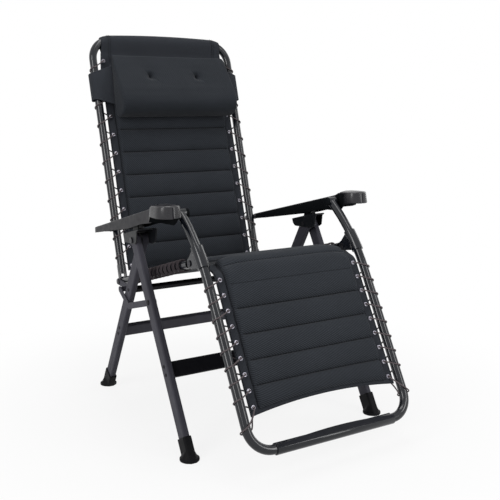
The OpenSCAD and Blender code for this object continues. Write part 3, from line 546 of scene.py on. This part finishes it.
# Where the back panel leaves its plane for the top bar, and how it goes round it
LOOP_AT = 752.0
LOOP_R = TUBE_R + 2.0
LOOP_END = BACK_LEN + math.pi * LOOP_R
TOP_CROWN, CROWN_HALF = 5.5, 200
BEND_SHARE = 0.8
FALL_RUN, FALL_GAP = 36, 3.0
TOP_TAPER, TAPER_FROM, TAPER_TO = 0.042, 690, 790


def eye_places(lace):
    first, pitch, turns = lace
    return first + pitch * np.arange(turns + 1)


def near_eyes(base, eyes):
    """Grid lines from base, with a close set round each eyelet in place of those near it."""
    eyes = np.asarray(eyes)
    keep = [v for v in base if np.min(np.abs(eyes - v)) > EYE_CLEAR]
    return np.unique(np.concatenate([keep, (eyes[:, None] + EYE_OFFSETS).ravel()]))


def sheet(name, node, body, mapping, lengths, lace, shape=None, path=None):
    """A cloth panel with hemmed sides and real eyelet holes; lengths are its rows' places."""
    eyes = eye_places(lace)
    s = near_eyes(lengths, eyes)
    x = near_eyes(SLING_COLUMNS, [-EYE_X, EYE_X])
    rows, cols = len(s), len(x)
    flat = np.stack([np.tile(x, rows), np.repeat(s, cols), np.zeros(rows * cols)], 1)
    mid_s, mid_x = (s[1:] + s[:-1]) / 2, (x[1:] + x[:-1]) / 2
    off_s = np.min(np.abs(mid_s[:, None] - eyes), 1)[:, None]
    off_x = np.abs(np.abs(mid_x) - EYE_X)[None, :]
    holes = np.hypot(off_s, off_x) < EYE_R + 0.1
    uv = flat[:, :2] * MM
    hem = np.where(np.abs(flat[:, 0]) > PAD_HALF + 1, HEM_EXTRA, 0.0)
    rim = np.abs(np.abs(flat[:, 0]) - SLING_HALF) < 0.1
    half = np.where(rim, RIM_HALF, CLOTH_HALF + hem)
    if shape:
        flat = shape(flat)
    skins = []
    for side in (1, -1):
        p = np.stack([flat[:, 0], side * half, flat[:, 1]], 1)
        skins.append(mapping(path(p) if path else p))
    verts, faces, kept = slab(*skins, rows, cols, holes)
    obj = make(name, verts, faces, MAT["sling_cloth"], body, uv[kept])
    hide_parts(node)


def over_top(p):
    """Carries the back panel's upper end over the top bar and its bends, and down behind it."""
    x, n, s = p.T
    out = np.clip(np.abs(x) - (TUBE_X - TOP_R), 0, TOP_R * BEND_SHARE)
    up = np.sqrt(TOP_R ** 2 - out ** 2)
    stretch = TOP_R / up
    crest = BACK_LEN - TOP_R + up
    padding = TOP_CROWN * (1 - np.clip(np.abs(x) / CROWN_HALF, 0, 1) ** 2)
    r = LOOP_R + n
    climb = np.clip((s - LOOP_AT) / (BACK_LEN - LOOP_AT), 0, 1)
    turn = np.clip((s - BACK_LEN) / LOOP_R, 0, math.pi)
    down = np.clip(s - LOOP_END, 0, None)
    rising = LOOP_AT + (crest - LOOP_AT) * climb
    falling = crest + (r * stretch + padding) * np.sin(turn) - down
    s2 = np.where(s <= LOOP_AT, s, np.where(s <= BACK_LEN, rising, falling))
    n2 = np.where(s <= BACK_LEN, n + LOOP_R * ease(0, 1, climb), r * np.cos(turn))
    n2 = np.where(down > 0, -r + (LOOP_R - FALL_GAP) * ease(0, FALL_RUN, down), n2)
    return np.stack([x, n2, s2], 1)


def top_taper(flat):
    """Narrows the back panel a little towards the top bar."""
    q = np.array(flat, float)
    q[:, 0] *= 1 - TOP_TAPER * ease(TAPER_FROM, TAPER_TO, q[:, 1])
    return q


back_rows = np.concatenate([
    np.linspace(32, LOOP_AT, 60), np.linspace(LOOP_AT + 4, BACK_LEN, 12),
    np.linspace(BACK_LEN + 2, LOOP_END, 16), np.linspace(LOOP_END + 4, LOOP_END + 40, 9)])
sheet("back_cloth", "back_sling", "back", back_map, back_rows, BACK_LACE, top_taper, over_top)
sheet("seat_cloth", "seat_sling", "seat", seat_map, np.linspace(32, 513, 45), SEAT_LACE)
sheet("leg_cloth", "leg_sling", "leg_rest", leg_map, np.linspace(-103, 332, 60), LEG_LACE,
      concave)


# Eyelets and lacing
EYELET_PROFILE = np.array([
    (0, -1.9), (0.5, -2.4), (2.6, -2.1), (3.3, -1.6), (3.4, 1.5), (3.1, 2.1), (2.1, 2.8),
    (0.8, 2.7), (0.1, 2.1)]) + [EYE_R, 0]
EYELET_SIDES = 20
CORD_SIDES = 8
LACE_LIFT, LACE_END = 5.0, 9.0
# Degrees at which the cord goes round the tube, and on behind it to the next turn
ROUND_TUBE = np.append(np.arange(-100, 101, 25), [140, 180, 220])
BEHIND_TUBE = 3


def eyelets(name, body, mapping, lace):
    """Rolled metal rings pressed through the hem."""
    m = len(EYELET_PROFILE)
    a = np.arange(EYELET_SIDES) * TAU / EYELET_SIDES
    r, n = EYELET_PROFILE[:, :1], np.repeat(EYELET_PROFILE[:, 1:], EYELET_SIDES, 1)
    verts, faces = [], []
    for s in eye_places(lace):
        for side in (-1, 1):
            start = len(verts) * EYELET_SIDES * m
            ring = np.stack([side * EYE_X + r * np.cos(a), n, s + r * np.sin(a)], 2)
            verts.append(mapping(ring.reshape(-1, 3)))
            for i in range(m):
                here = start + i * EYELET_SIDES
                there = start + (i + 1) % m * EYELET_SIDES
                for j in range(EYELET_SIDES):
                    k = (j + 1) % EYELET_SIDES
                    faces.append([here + j, there + j, there + k, here + k])
    make(name, np.concatenate(verts), faces, MAT["eyelet"], body)


def lace_route(side, face, lace, wraps):
    """Out of an eyelet, round the tube, and back through the next from the cloth's other face."""
    first, pitch, turns = lace
    angles = np.concatenate([360 * w + ROUND_TUBE for w in range(wraps)])[:-BEHIND_TUBE]
    reach, r = (0.14, WRAP_R) if wraps == 1 else (0.3, WRAP_R + 1.6)
    shares = np.linspace(0.5 - reach, 0.5 + reach, len(angles))
    x = side * EYE_X
    pts = [(x, -face * LACE_END, first)]
    for s in eye_places(lace)[:-1]:
        pts.append((x, face * LACE_LIFT, s))
        for a, share in zip(np.radians(angles), shares):
            pts.append((side * (TUBE_X + r * math.cos(a)), -face * r * math.sin(a),
                        s + pitch * share))
        pts.append((x, -face * LACE_LIFT, s + pitch))
    pts.append((x, face * LACE_END, first + turns * pitch))
    return smooth_path(pts, 3)


def lacing(panel, body, mapping, face, lace, wraps=1, tail=None):
    for word, side in SIDES:
        routes = [mapping(lace_route(side, face, lace, wraps))]
        if tail is not None:
            routes.append(mapping(smooth_path(tail * [side, 1, 1], 6)))
        verts, faces = tubes(routes, CORD_R * MM, CORD_SIDES)
        uv = []
        for r in routes:
            around = np.tile(np.arange(CORD_SIDES) * 0.0016, len(r))
            uv.append(np.stack([around, np.repeat(run_of(r), CORD_SIDES)], 1))
        # The seat's lacing gets the darker cord, which is painted shade
        obj = make(f"{panel}_cord_{word}", verts, faces, MAT["cord" if wraps == 1 else "seat_cord_shaded"],
                   body, np.concatenate(uv))
        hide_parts(f"{panel}_lacing_{word}")
    eyelets(f"{panel}_eyelets", body, mapping, lace)


# From the leg panel's last eyelets the cord runs on once round the tube's lower end and back
LEG_TAIL = np.array([
    (218, 6, 311), (221, 8, 318), (236, 15, 336), (252.5, 16.6, 352), (266, 9, 360),
    (269, -2, 363), (262, -13.5, 366), (250, -16.2, 367), (239, -9.5, 364), (235.6, 0, 358),
    (229, -1, 340), (220, -5, 320), (218, -6, 311)])
lacing("back", "back", back_map, -1, BACK_LACE)
lacing("seat", "seat", seat_map, 1, SEAT_LACE, wraps=2)
lacing("leg", "leg_rest", leg_map, 1, LEG_LACE, tail=LEG_TAIL)


# Sewing
STITCH_PITCH, THREAD_R = 6.0, 0.55
STITCH_RUN = np.array([0, 0.6, 2, 3.4, 4])
STITCH_RISE = np.array([-0.5, 0.25, 0.5, 0.25, -0.5])
HEM_LINES = (205.5, 228)


def stitches(name, body, mapping, lines, shape=None, path=None):
    """Short threads along lines of (x, n, s) points."""
    paths = []
    for line in lines:
        for start in np.arange(1.0, run_of(line)[-1] - 5, STITCH_PITCH):
            p = points_at(start + STITCH_RUN, line)
            if shape:
                p = shape(p[:, [0, 2, 1]])[:, [0, 2, 1]]
            p[:, 1] += STITCH_RISE
            paths.append(mapping(path(p) if path else p))
    verts, faces = tubes(paths, THREAD_R * MM, 5)
    make(name, verts, faces, MAT["thread"], body)


def side_lines(start, end, places):
    """Lines down both sides of a panel, just above its cloth."""
    rows = np.linspace(start, end, 40)
    return [np.array([(side * x, 1.9, s) for s in rows]) for side in (-1, 1) for x in places]


def seam_lines(top):
    """Lines along a pad's inner seams, from the grid of its face."""
    rows = top[len(FRACTIONS):-1:len(FRACTIONS)]
    return [row[np.abs(row[:, 0]) < SEAM_END - 1] + [0, 0.3, 0] for row in rows]


stitches("back_stitches", "back", back_map, side_lines(34, 690, HEM_LINES))
stitches("top_stitches", "back", back_map, side_lines(724, 835, (190, 197)), path=over_top)
stitches("seat_stitches", "seat", seat_map, side_lines(34, 510, HEM_LINES) + seam_lines(seat_top))
stitches("leg_stitches", "leg_rest", leg_map, side_lines(-100, 326, HEM_LINES), concave)
stitches("leg_seam_stitches", "leg_rest", leg_map, seam_lines(leg_top))
stitches("back_seam_stitches", "back", back_map, seam_lines(back_top))


# Head cushion
HEAD_AT, HEAD_HALF, HEAD_REST = BACK_LEN - 168, 208.0, 25.6
HEAD_END_R = 7.0
HEAD_SHIFT = 7.0
HEAD_FILL, HEAD_SIM_SHARE = 0.75, 0.3
HEAD_PRESSURE, HEAD_BENDING, HEAD_CAP = 3.0, 8.0, 8
TUFTS, TUFT_UP = (-86.0, 86.0), 29.0
# A tuft's dimples as depth and radius, and its crease as depth, half width and half height
TUFT_DIMPLES, TUFT_CREASE = ((7, 34), (8, 15)), (12, 6, 9.5)
TUFT_FOLD = 1.6
# Front of the cross-section as (up, out): a thin sewn upper edge and a fat roll below
HEAD_FRONT = [(105, 0.6), (107, 3.5), (105, 8.5), (90, 17), (60, 31), (29, 45.5), (0, 59),
              (-28, 71), (-53, 79), (-75, 79.5), (-92, 69.5), (-102, 51), (-105.5, 31),
              (-103, 11), (-97, 1.5)]
# Rings of the end caps as bulge and inset, from the middle of the end outwards
HEAD_CAPS = [(3.0, 55.0), (2.7, 42.0), (2.0, 28.0), (1.0, 16.0)]


def head_loop():
    front = smooth_path(HEAD_FRONT, 8)
    run = run_of(front)[-1]
    front = points_at(np.linspace(0, run, int(round(run / 3.6)) + 1), front)
    behind = np.stack([np.linspace(-90, 99, 20), np.zeros(20)], 1)
    return np.concatenate([front, behind])


def head_rings(loop):
    """Cross-sections from end to end, closer together at the tufts and rounded at the ends."""
    dense = np.concatenate([np.arange(t - 22, t + 23, 2.75) for t in TUFTS])
    coarse = [v for v in np.linspace(-198, 198, 50) if np.min(np.abs(dense - v)) > 3.5]
    turn = np.radians([15, 32, 50, 68, 84])
    end = [(HEAD_HALF - HEAD_END_R + HEAD_END_R * math.sin(a), HEAD_END_R * (1 - math.cos(a)))
           for a in turn]
    end += [(HEAD_HALF + bulge, inset) for bulge, inset in HEAD_CAPS[::-1]]
    middle = [(x, 0) for x in np.sort(np.concatenate([dense, coarse]))]
    centre = np.array([-14.0, 34.0])
    rings = []
    for x, inset in [(-x, inset) for x, inset in end[::-1]] + middle + end:
        p = centre + (loop - centre) * (1 - inset / 62)
        rings.append(np.stack([np.full(len(p), x), np.maximum(p[:, 1], 0), p[:, 0]], 1))
    return np.array(rings)


def tuft(p):
    """Draws in the two sewn tufts, each a short upright crease in a soft dimple."""
    q = p.copy()
    front = ease(6, 20, q[:, 1])
    for t in TUFTS:
        dx, dz = q[:, 0] - t, q[:, 2] - TUFT_UP
        r = np.hypot(dx, dz)
        dip = sum(deep * np.exp(-(r / radius) ** 2) for deep, radius in TUFT_DIMPLES)
        deep, wide, high = TUFT_CREASE
        crease = deep * np.exp(-(dx / wide) ** 2 - (dz / high) ** 2)
        fold = TUFT_FOLD * np.exp(-((dx + dz * 0.9) / 5) ** 2)
        fold = fold * ease(4, 14, r) * (1 - ease(16, 44, r))
        q[:, 1] -= front * (dip + crease + fold)
    return q


def head_cushion():
    loop = head_loop()
    rings = head_rings(loop)
    n, m = rings.shape[:2]
    verts = tuft(rings.reshape(-1, 3))
    faces = loft_faces(n, m)
    off = np.min([np.hypot(verts[:, 0] - t, verts[:, 2] - TUFT_UP) for t in TUFTS], 0)
    pinned = (verts[:, 1] < 3) | (off < 7) | (np.abs(verts[:, 0]) > HEAD_HALF - 9)
    filled = swell_cloth(verts, faces, pinned, HEAD_PRESSURE, HEAD_BENDING, HEAD_CAP)
    verts = (1 - HEAD_SIM_SHARE) * verts + HEAD_SIM_SHARE * filled
    verts[:, 1] = np.maximum(verts[:, 1], 0)
    verts[:, 0] += HEAD_SHIFT * ease(-60, 105, verts[:, 2])
    girth = np.linalg.norm(np.diff(loop, axis=0, append=loop[:1]), axis=1)
    uv = np.stack([verts[:, 0], np.tile(-np.cumsum(girth), n)], 1) * MM
    placed = back_map(verts + np.array([0, HEAD_REST, HEAD_AT]))
    # The cushion's cloth is darkened, which is painted shade
    obj = make("head_bolster", placed, faces, MAT["bolster"], "head", uv)
    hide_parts("head_cushion")
    subdivide(obj)


head_cushion()

BAND_R = TUBE_R + 6.7
BAND_OUT = TUBE_X + BAND_R
BAND_UP = HEAD_AT + 8
# One half of the band seen from above, as (x, n), from the cushion to the middle of the back
BAND_ROUTE = [(-150, 24.4), (-196, 24.2), (-228, BAND_R + 2.4), (-BAND_OUT + 10, BAND_R * 0.92),
              (-BAND_OUT, BAND_R * 0.35), (-BAND_OUT, -BAND_R * 0.5),
              (-BAND_OUT + 7, -BAND_R + 1.2), (-BAND_OUT + 18, -BAND_R - 0.4),
              (-120, -BAND_R - 0.6), (0, -BAND_R - 0.6)]
# Its half height in front, by x, and behind
BAND_FRONT = ([150, 192, BAND_OUT - 8, BAND_OUT], [71, 69, 45, 44])
BAND_BEHIND = 44
# Its half thickness at shares of the half height, with a bound and stitched edge
BAND_EDGE = [(1, 0.5), (0.985, 1.2), (0.93, 1.2), (0.9, 0.75), (0.87, 1.0), (0.6, 1), (0.3, 1)]


def band():
    """The band that goes from the cushion round the tubes and across behind the back."""
    half = smooth_path(BAND_ROUTE, 6)
    path = np.concatenate([half, (half * [-1, 1])[::-1][1:]])
    run = run_of(path)
    tall = np.interp(np.abs(path[:, 0]), *BAND_FRONT)
    tall = np.where(path[:, 1] > 0, tall, BAND_BEHIND)[:, None]
    heading = np.gradient(path, axis=0)
    heading /= np.linalg.norm(heading, axis=1)[:, None]
    normal = np.stack([heading[:, 1], -heading[:, 0]], 1)[:, None, :]
    rows = [(-level, thick) for level, thick in BAND_EDGE] + [(0, 1)] + BAND_EDGE[::-1]
    levels, thick = np.array(rows).T
    up = tall * levels
    skins = []
    for side in (1, -1):
        q = path[:, None, :] + side * normal * thick[None, :, None]
        skins.append(np.concatenate([q, (BAND_UP + up)[:, :, None]], 2).reshape(-1, 3))
    uv = np.stack([np.repeat(run, len(levels)), up.ravel()], 1) * MM
    verts, faces, kept = slab(*skins, len(path), len(levels))
    obj = make("head_wrap", back_map(verts), faces, MAT["sling_cloth"], "head",
               uv[kept])
    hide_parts("head_band")


band()


# Armrests, with y and z from the front pivot and x from the middle of the chair
ARM_PIVOT = np.array([-139.8, 637.1])
ARM_IN = 275.0
GRIP_R, GRIP_AT, GRIP_END = 36.0, -42.0, -1.0
ARM_NOSE, ARM_TAIL = GRIP_AT - GRIP_R, 498.0
ARM_WALL, ARM_ROOF, ARM_CHAMFER = 3.0, 5.0, 1.2
# Edge radius and crown of the grip and the blade, and how far the crown takes to rise
GRIP_EDGE, BLADE_EDGE, CROWN_RUN = (5.0, 3.0), (3.5, 1.0), 26
GRIP_DRAFT, NOSE_LEAN, TAIL_PINCH = 3.5, 4.5, 5
NOSE_TURN = np.radians([4, 12, 21, 31, 42, 54, 66, 78])
ARM_STATIONS = np.concatenate([
    GRIP_AT - GRIP_R * np.cos(NOSE_TURN), [GRIP_AT, -30, -18, -8],
    GRIP_END + np.array([-3, 0, 0.5, 4]), np.linspace(12, ARM_TAIL - 14, 24),
    ARM_TAIL - np.array([8, 3, 0.8, 0])])
ACROSS = np.array([0, .006, .02, .045, .09, .18, .32, .5, .68, .82, .91, .955, .98, .994, 1])
# Lines along y: the top, the lower edges of the outer and the inner wall, and the blade's width
ARM_LEVEL = ([ARM_NOSE, -8, 14, 482, ARM_TAIL], [32, 28, 16.5, -96.5, -102])
ARM_BOTTOM = ([-8, 0, 80, 178, 482, ARM_TAIL], [-1.5, -19, -33, -59, -115, -117])
ARM_LIP = ([-60, -40, -28, -14, 0, 80, 178, 482, ARM_TAIL],
           [-1.5, -7, -14, -29, -30, -34, -59, -115, -117])
BLADE_WIDTH = ([0, ARM_TAIL - 12, ARM_TAIL], [64, 46, 36])
ARM_SHARP = math.radians(38)


def arm_section(y):
    """The armrest's outline at y, as (x, y, z) points: the top from in to out, then the walls."""
    on_grip = y <= GRIP_END
    ahead = max(GRIP_AT - y, 0)
    half = math.sqrt(max(GRIP_R ** 2 - ahead ** 2, 1))
    middle = ARM_IN + GRIP_R
    x0 = middle - half + TAIL_PINCH * float(ease(ARM_TAIL - 8, ARM_TAIL, y))
    x1 = middle + half if on_grip else ARM_IN + np.interp(y, *BLADE_WIDTH)
    x = x0 + (x1 - x0) * ACROSS
    level, bottom, lip = (np.interp(y, *line) for line in (ARM_LEVEL, ARM_BOTTOM, ARM_LIP))

    inside = np.minimum(x - x0, x1 - x)
    if ahead > 0:
        inside = np.minimum(inside, GRIP_R - np.hypot(x - middle, ahead))
    rim, crown = GRIP_EDGE if on_grip else BLADE_EDGE
    d = np.clip(inside, 0, rim)
    if y > ARM_TAIL - rim:
        d = min(rim, ARM_TAIL - y)
    top = level + crown * ease(0, CROWN_RUN, inside) - rim + np.sqrt(rim ** 2 - (rim - d) ** 2)
    draft = GRIP_DRAFT * (1 - 2 * ACROSS) * half / GRIP_R if on_grip else 0
    back = NOSE_LEAN * ahead / GRIP_R

    solid = on_grip or y > ARM_TAIL - 6
    roof = bottom + 0.6 if solid else level - ARM_ROOF
    wall = min(ARM_WALL, half * 0.3)
    low = [(x1, bottom + ARM_CHAMFER), (x1 - ARM_CHAMFER / 2, bottom), (x1 - wall, bottom),
           (x1 - wall, roof), (x0 + wall, roof), (x0 + wall, lip),
           (x0 + ARM_CHAMFER / 2, lip), (x0, lip + ARM_CHAMFER)]
    return ([(px, y + back, pz) for px, pz in zip(x + draft, top)]
            + [(px, y, pz) for px, pz in low])


def armrest(word, sign):
    """A level grip with a round nose, a step, and a blade that narrows to the tail."""
    rings = np.array([arm_section(y) for y in ARM_STATIONS])
    n, m = rings.shape[:2]
    verts = (rings.reshape(-1, 3) * [sign, 1, 1] + [0, *ARM_PIVOT]) * MM
    obj = make(f"armrest_{word}_form", verts, loft_faces(n, m), MAT["arm_plastic"],
               f"armrest_{word}")
    ends = ARM_STATIONS[1:]
    paint(obj, np.repeat(ends <= GRIP_END, m), MAT["grip"])
    # The lips, hollow underside and inner wall, except at the nose, get painted shade: a near-black
    # matt material
    painted_shade_faces = np.tile(np.arange(m) > len(ACROSS), (n - 1, 1))
    painted_shade_faces[ends < -20, m - 1] = False
    paint(obj, painted_shade_faces, MAT["painted_arm_shade_and_knobs"])
    obj.data.set_sharp_from_angle(angle=ARM_SHARP)
    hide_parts(f"armrest_{word}")


# Copies of CAD nodes with softer edges
MELT_VOXEL, MELT_ROUNDS = 1.3, 8
FLAT_ANGLE, EDGE_ANGLE = math.radians(1.5), math.radians(32)
RIDGE_CUT = 0.52


def stand_for(obj, node):
    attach(obj, NODES[node]["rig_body"])
    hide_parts(node)


def rounded(node, width, segments, material, shape=None):
    """A copy of a CAD node with its sharp edges rounded, in the node's place."""
    obj = add_object(node + "_form", NODES[node].data.copy())
    bm = bmesh.new()
    bm.from_mesh(obj.data)
    bmesh.ops.remove_doubles(bm, verts=bm.verts, dist=1e-6)
    bmesh.ops.dissolve_limit(bm, angle_limit=FLAT_ANGLE, verts=bm.verts, edges=bm.edges)
    if shape:
        moved = shape(np.array([v.co for v in bm.verts]) / MM) * MM
        for v, co in zip(bm.verts, moved):
            v.co = co
    bm.to_mesh(obj.data)
    bm.free()
    obj.data.polygons.foreach_set("use_smooth", [True] * len(obj.data.polygons))
    obj.data.materials[0] = material
    edge = obj.modifiers.new("edges", "BEVEL")
    edge.width = width * MM
    edge.segments = segments
    edge.limit_method = "ANGLE"
    edge.angle_limit = EDGE_ANGLE
    edge.use_clamp_overlap = True
    edge.harden_normals = True
    stand_for(obj, node)
    return obj


def moulded(node, material):
    """A copy of a CAD node with its edges melted like a moulding's, in the node's place."""
    obj = add_object(node + "_form", NODES[node].data.copy())
    obj.data.materials[0] = material
    skin = obj.modifiers.new("skin", "REMESH")
    skin.mode = "VOXEL"
    skin.voxel_size = MELT_VOXEL * MM
    skin.use_smooth_shade = True
    melt = obj.modifiers.new("melt", "SMOOTH")
    melt.factor = 0.5
    melt.iterations = MELT_ROUNDS
    stand_for(obj, node)


def lower_ridge(p):
    """Takes the foot cover's ridge down to a slim lens above the bar."""
    n, s = leg_coords(p)
    step = RIDGE_CUT * np.clip(FOOT_BAR - 8 - s, 0, None) * (n > 0)
    p[:, 1] -= step * math.sin(LEG_LEAN)
    p[:, 2] -= step * math.cos(LEG_LEAN)
    return p


for word, sign in SIDES:
    armrest(word, sign)
    moulded(f"knuckle_{word}", MAT["black_plastic"])
    moulded(f"front_boot_{word}", MAT["boot"])
    moulded(f"rear_boot_{word}", MAT["boot"])
cover = rounded("foot_plate", 0.9, 2, MAT["foot_cover"], lower_ridge)
centres = np.array([p.center for p in cover.data.polygons]) / MM
paint(cover, leg_coords(centres)[1] > FOOT_BAR - 7, MAT["round_tube"])
# The knobs take the same near-black matt material as the armrests' painted shade
rounded("arm_front_knobs", 1.6, 3, MAT["painted_arm_shade_and_knobs"])


# Studio
WORLD_LIGHT = 0.16
LAMPS = {  # place, aim and size in metres, and watts
    "key_left": ((-2.6, -0.9, 1.8), (0, 0, 0.6), (0.8, 2.2), 40),
    "front_right": ((1.5, -2.7, 1.6), (0, 0, 0.6), (0.8, 2.2), 34),
    "top": ((0.0, 0.0, 3.2), (0, 0, 0.5), (0.9, 2.6), 30),
    "right_rim": ((2.6, 0.5, 1.4), (0, 0, 0.6), (0.4, 2.2), 10),
}
FLOOR_REACH, FLOOR_Z = 7.0, -0.0005
FLOOR_FADE = {"From Min": 0.3, "From Max": 1.2, "To Min": 0.86, "To Max": 1.0}


def white_seen(tree, otherwise):
    """1 for what the camera, gloss and glass see, otherwise for the rest."""
    path = add_node(tree, "LightPath")
    value = path.outputs["Is Camera Ray"]
    for word in ("Is Glossy Ray", "Is Transmission Ray", None):
        most = add_node(tree, "Math")
        most.operation = "MAXIMUM"
        tree.links.new(value, most.inputs[0])
        if word:
            tree.links.new(path.outputs[word], most.inputs[1])
        else:
            most.inputs[1].default_value = otherwise
        value = most.outputs[0]
    return value


def add_world():
    world = bpy.data.worlds.new("studio")
    bpy.context.scene.world = world
    world.use_nodes = True
    tree = world.node_tree
    sky = tree.nodes["Background"]
    sky.inputs["Color"].default_value = (1, 1, 1, 1)
    tree.links.new(white_seen(tree, WORLD_LIGHT), sky.inputs["Strength"])


def add_lamp(name, place, aim, size, watts):
    light = bpy.data.lights.new(name, "AREA")
    light.shape = "RECTANGLE"
    light.size, light.size_y = size
    light.energy = watts
    lamp = add_object(name, light)
    lamp.location = place
    face_along(lamp, Vector(aim) - Vector(place))


def floor_material():
    """Pale and matt, and seen nearly white, the more so away from the chair."""
    pale, tree, shader = new_material("floor", (0.86, 0.86, 0.86), 0.8)
    tint = ramp(tree, noise_map(tree, 2), (0.85,) * 3, (0.87,) * 3)
    tree.links.new(tint, shader.inputs["Base Color"])
    where = add_node(tree, "TexCoord")
    far = add_node(tree, "VectorMath")
    far.operation = "LENGTH"
    tree.links.new(where.outputs["Object"], far.inputs[0])
    fade = add_node(tree, "MapRange", **FLOOR_FADE)
    fade.interpolation_type = "SMOOTHSTEP"
    tree.links.new(far.outputs["Value"], fade.inputs["Value"])
    amount = add_node(tree, "Math")
    amount.operation = "MULTIPLY"
    tree.links.new(fade.outputs["Result"], amount.inputs[0])
    tree.links.new(white_seen(tree, 0.0), amount.inputs[1])
    glow = add_node(tree, "Emission")
    mix = add_node(tree, "MixShader")
    tree.links.new(amount.outputs[0], mix.inputs["Fac"])
    tree.links.new(shader.outputs["BSDF"], mix.inputs[1])
    tree.links.new(glow.outputs["Emission"], mix.inputs[2])
    tree.links.new(mix.outputs["Shader"], tree.nodes["Material Output"].inputs["Surface"])
    return pale


def add_floor():
    mesh = bpy.data.meshes.new("floor")
    corners = [(x * FLOOR_REACH, y * FLOOR_REACH, FLOOR_Z)
               for x, y in ((-1, -1), (1, -1), (1, 1), (-1, 1))]
    mesh.from_pydata(corners, [], [(0, 1, 2, 3)])
    mesh.materials.append(floor_material())
    add_object("floor", mesh)


add_world()
for name, lamp in LAMPS.items():
    add_lamp(name, *lamp)
add_floor()
bpy.context.scene.view_settings.view_transform = "Standard"
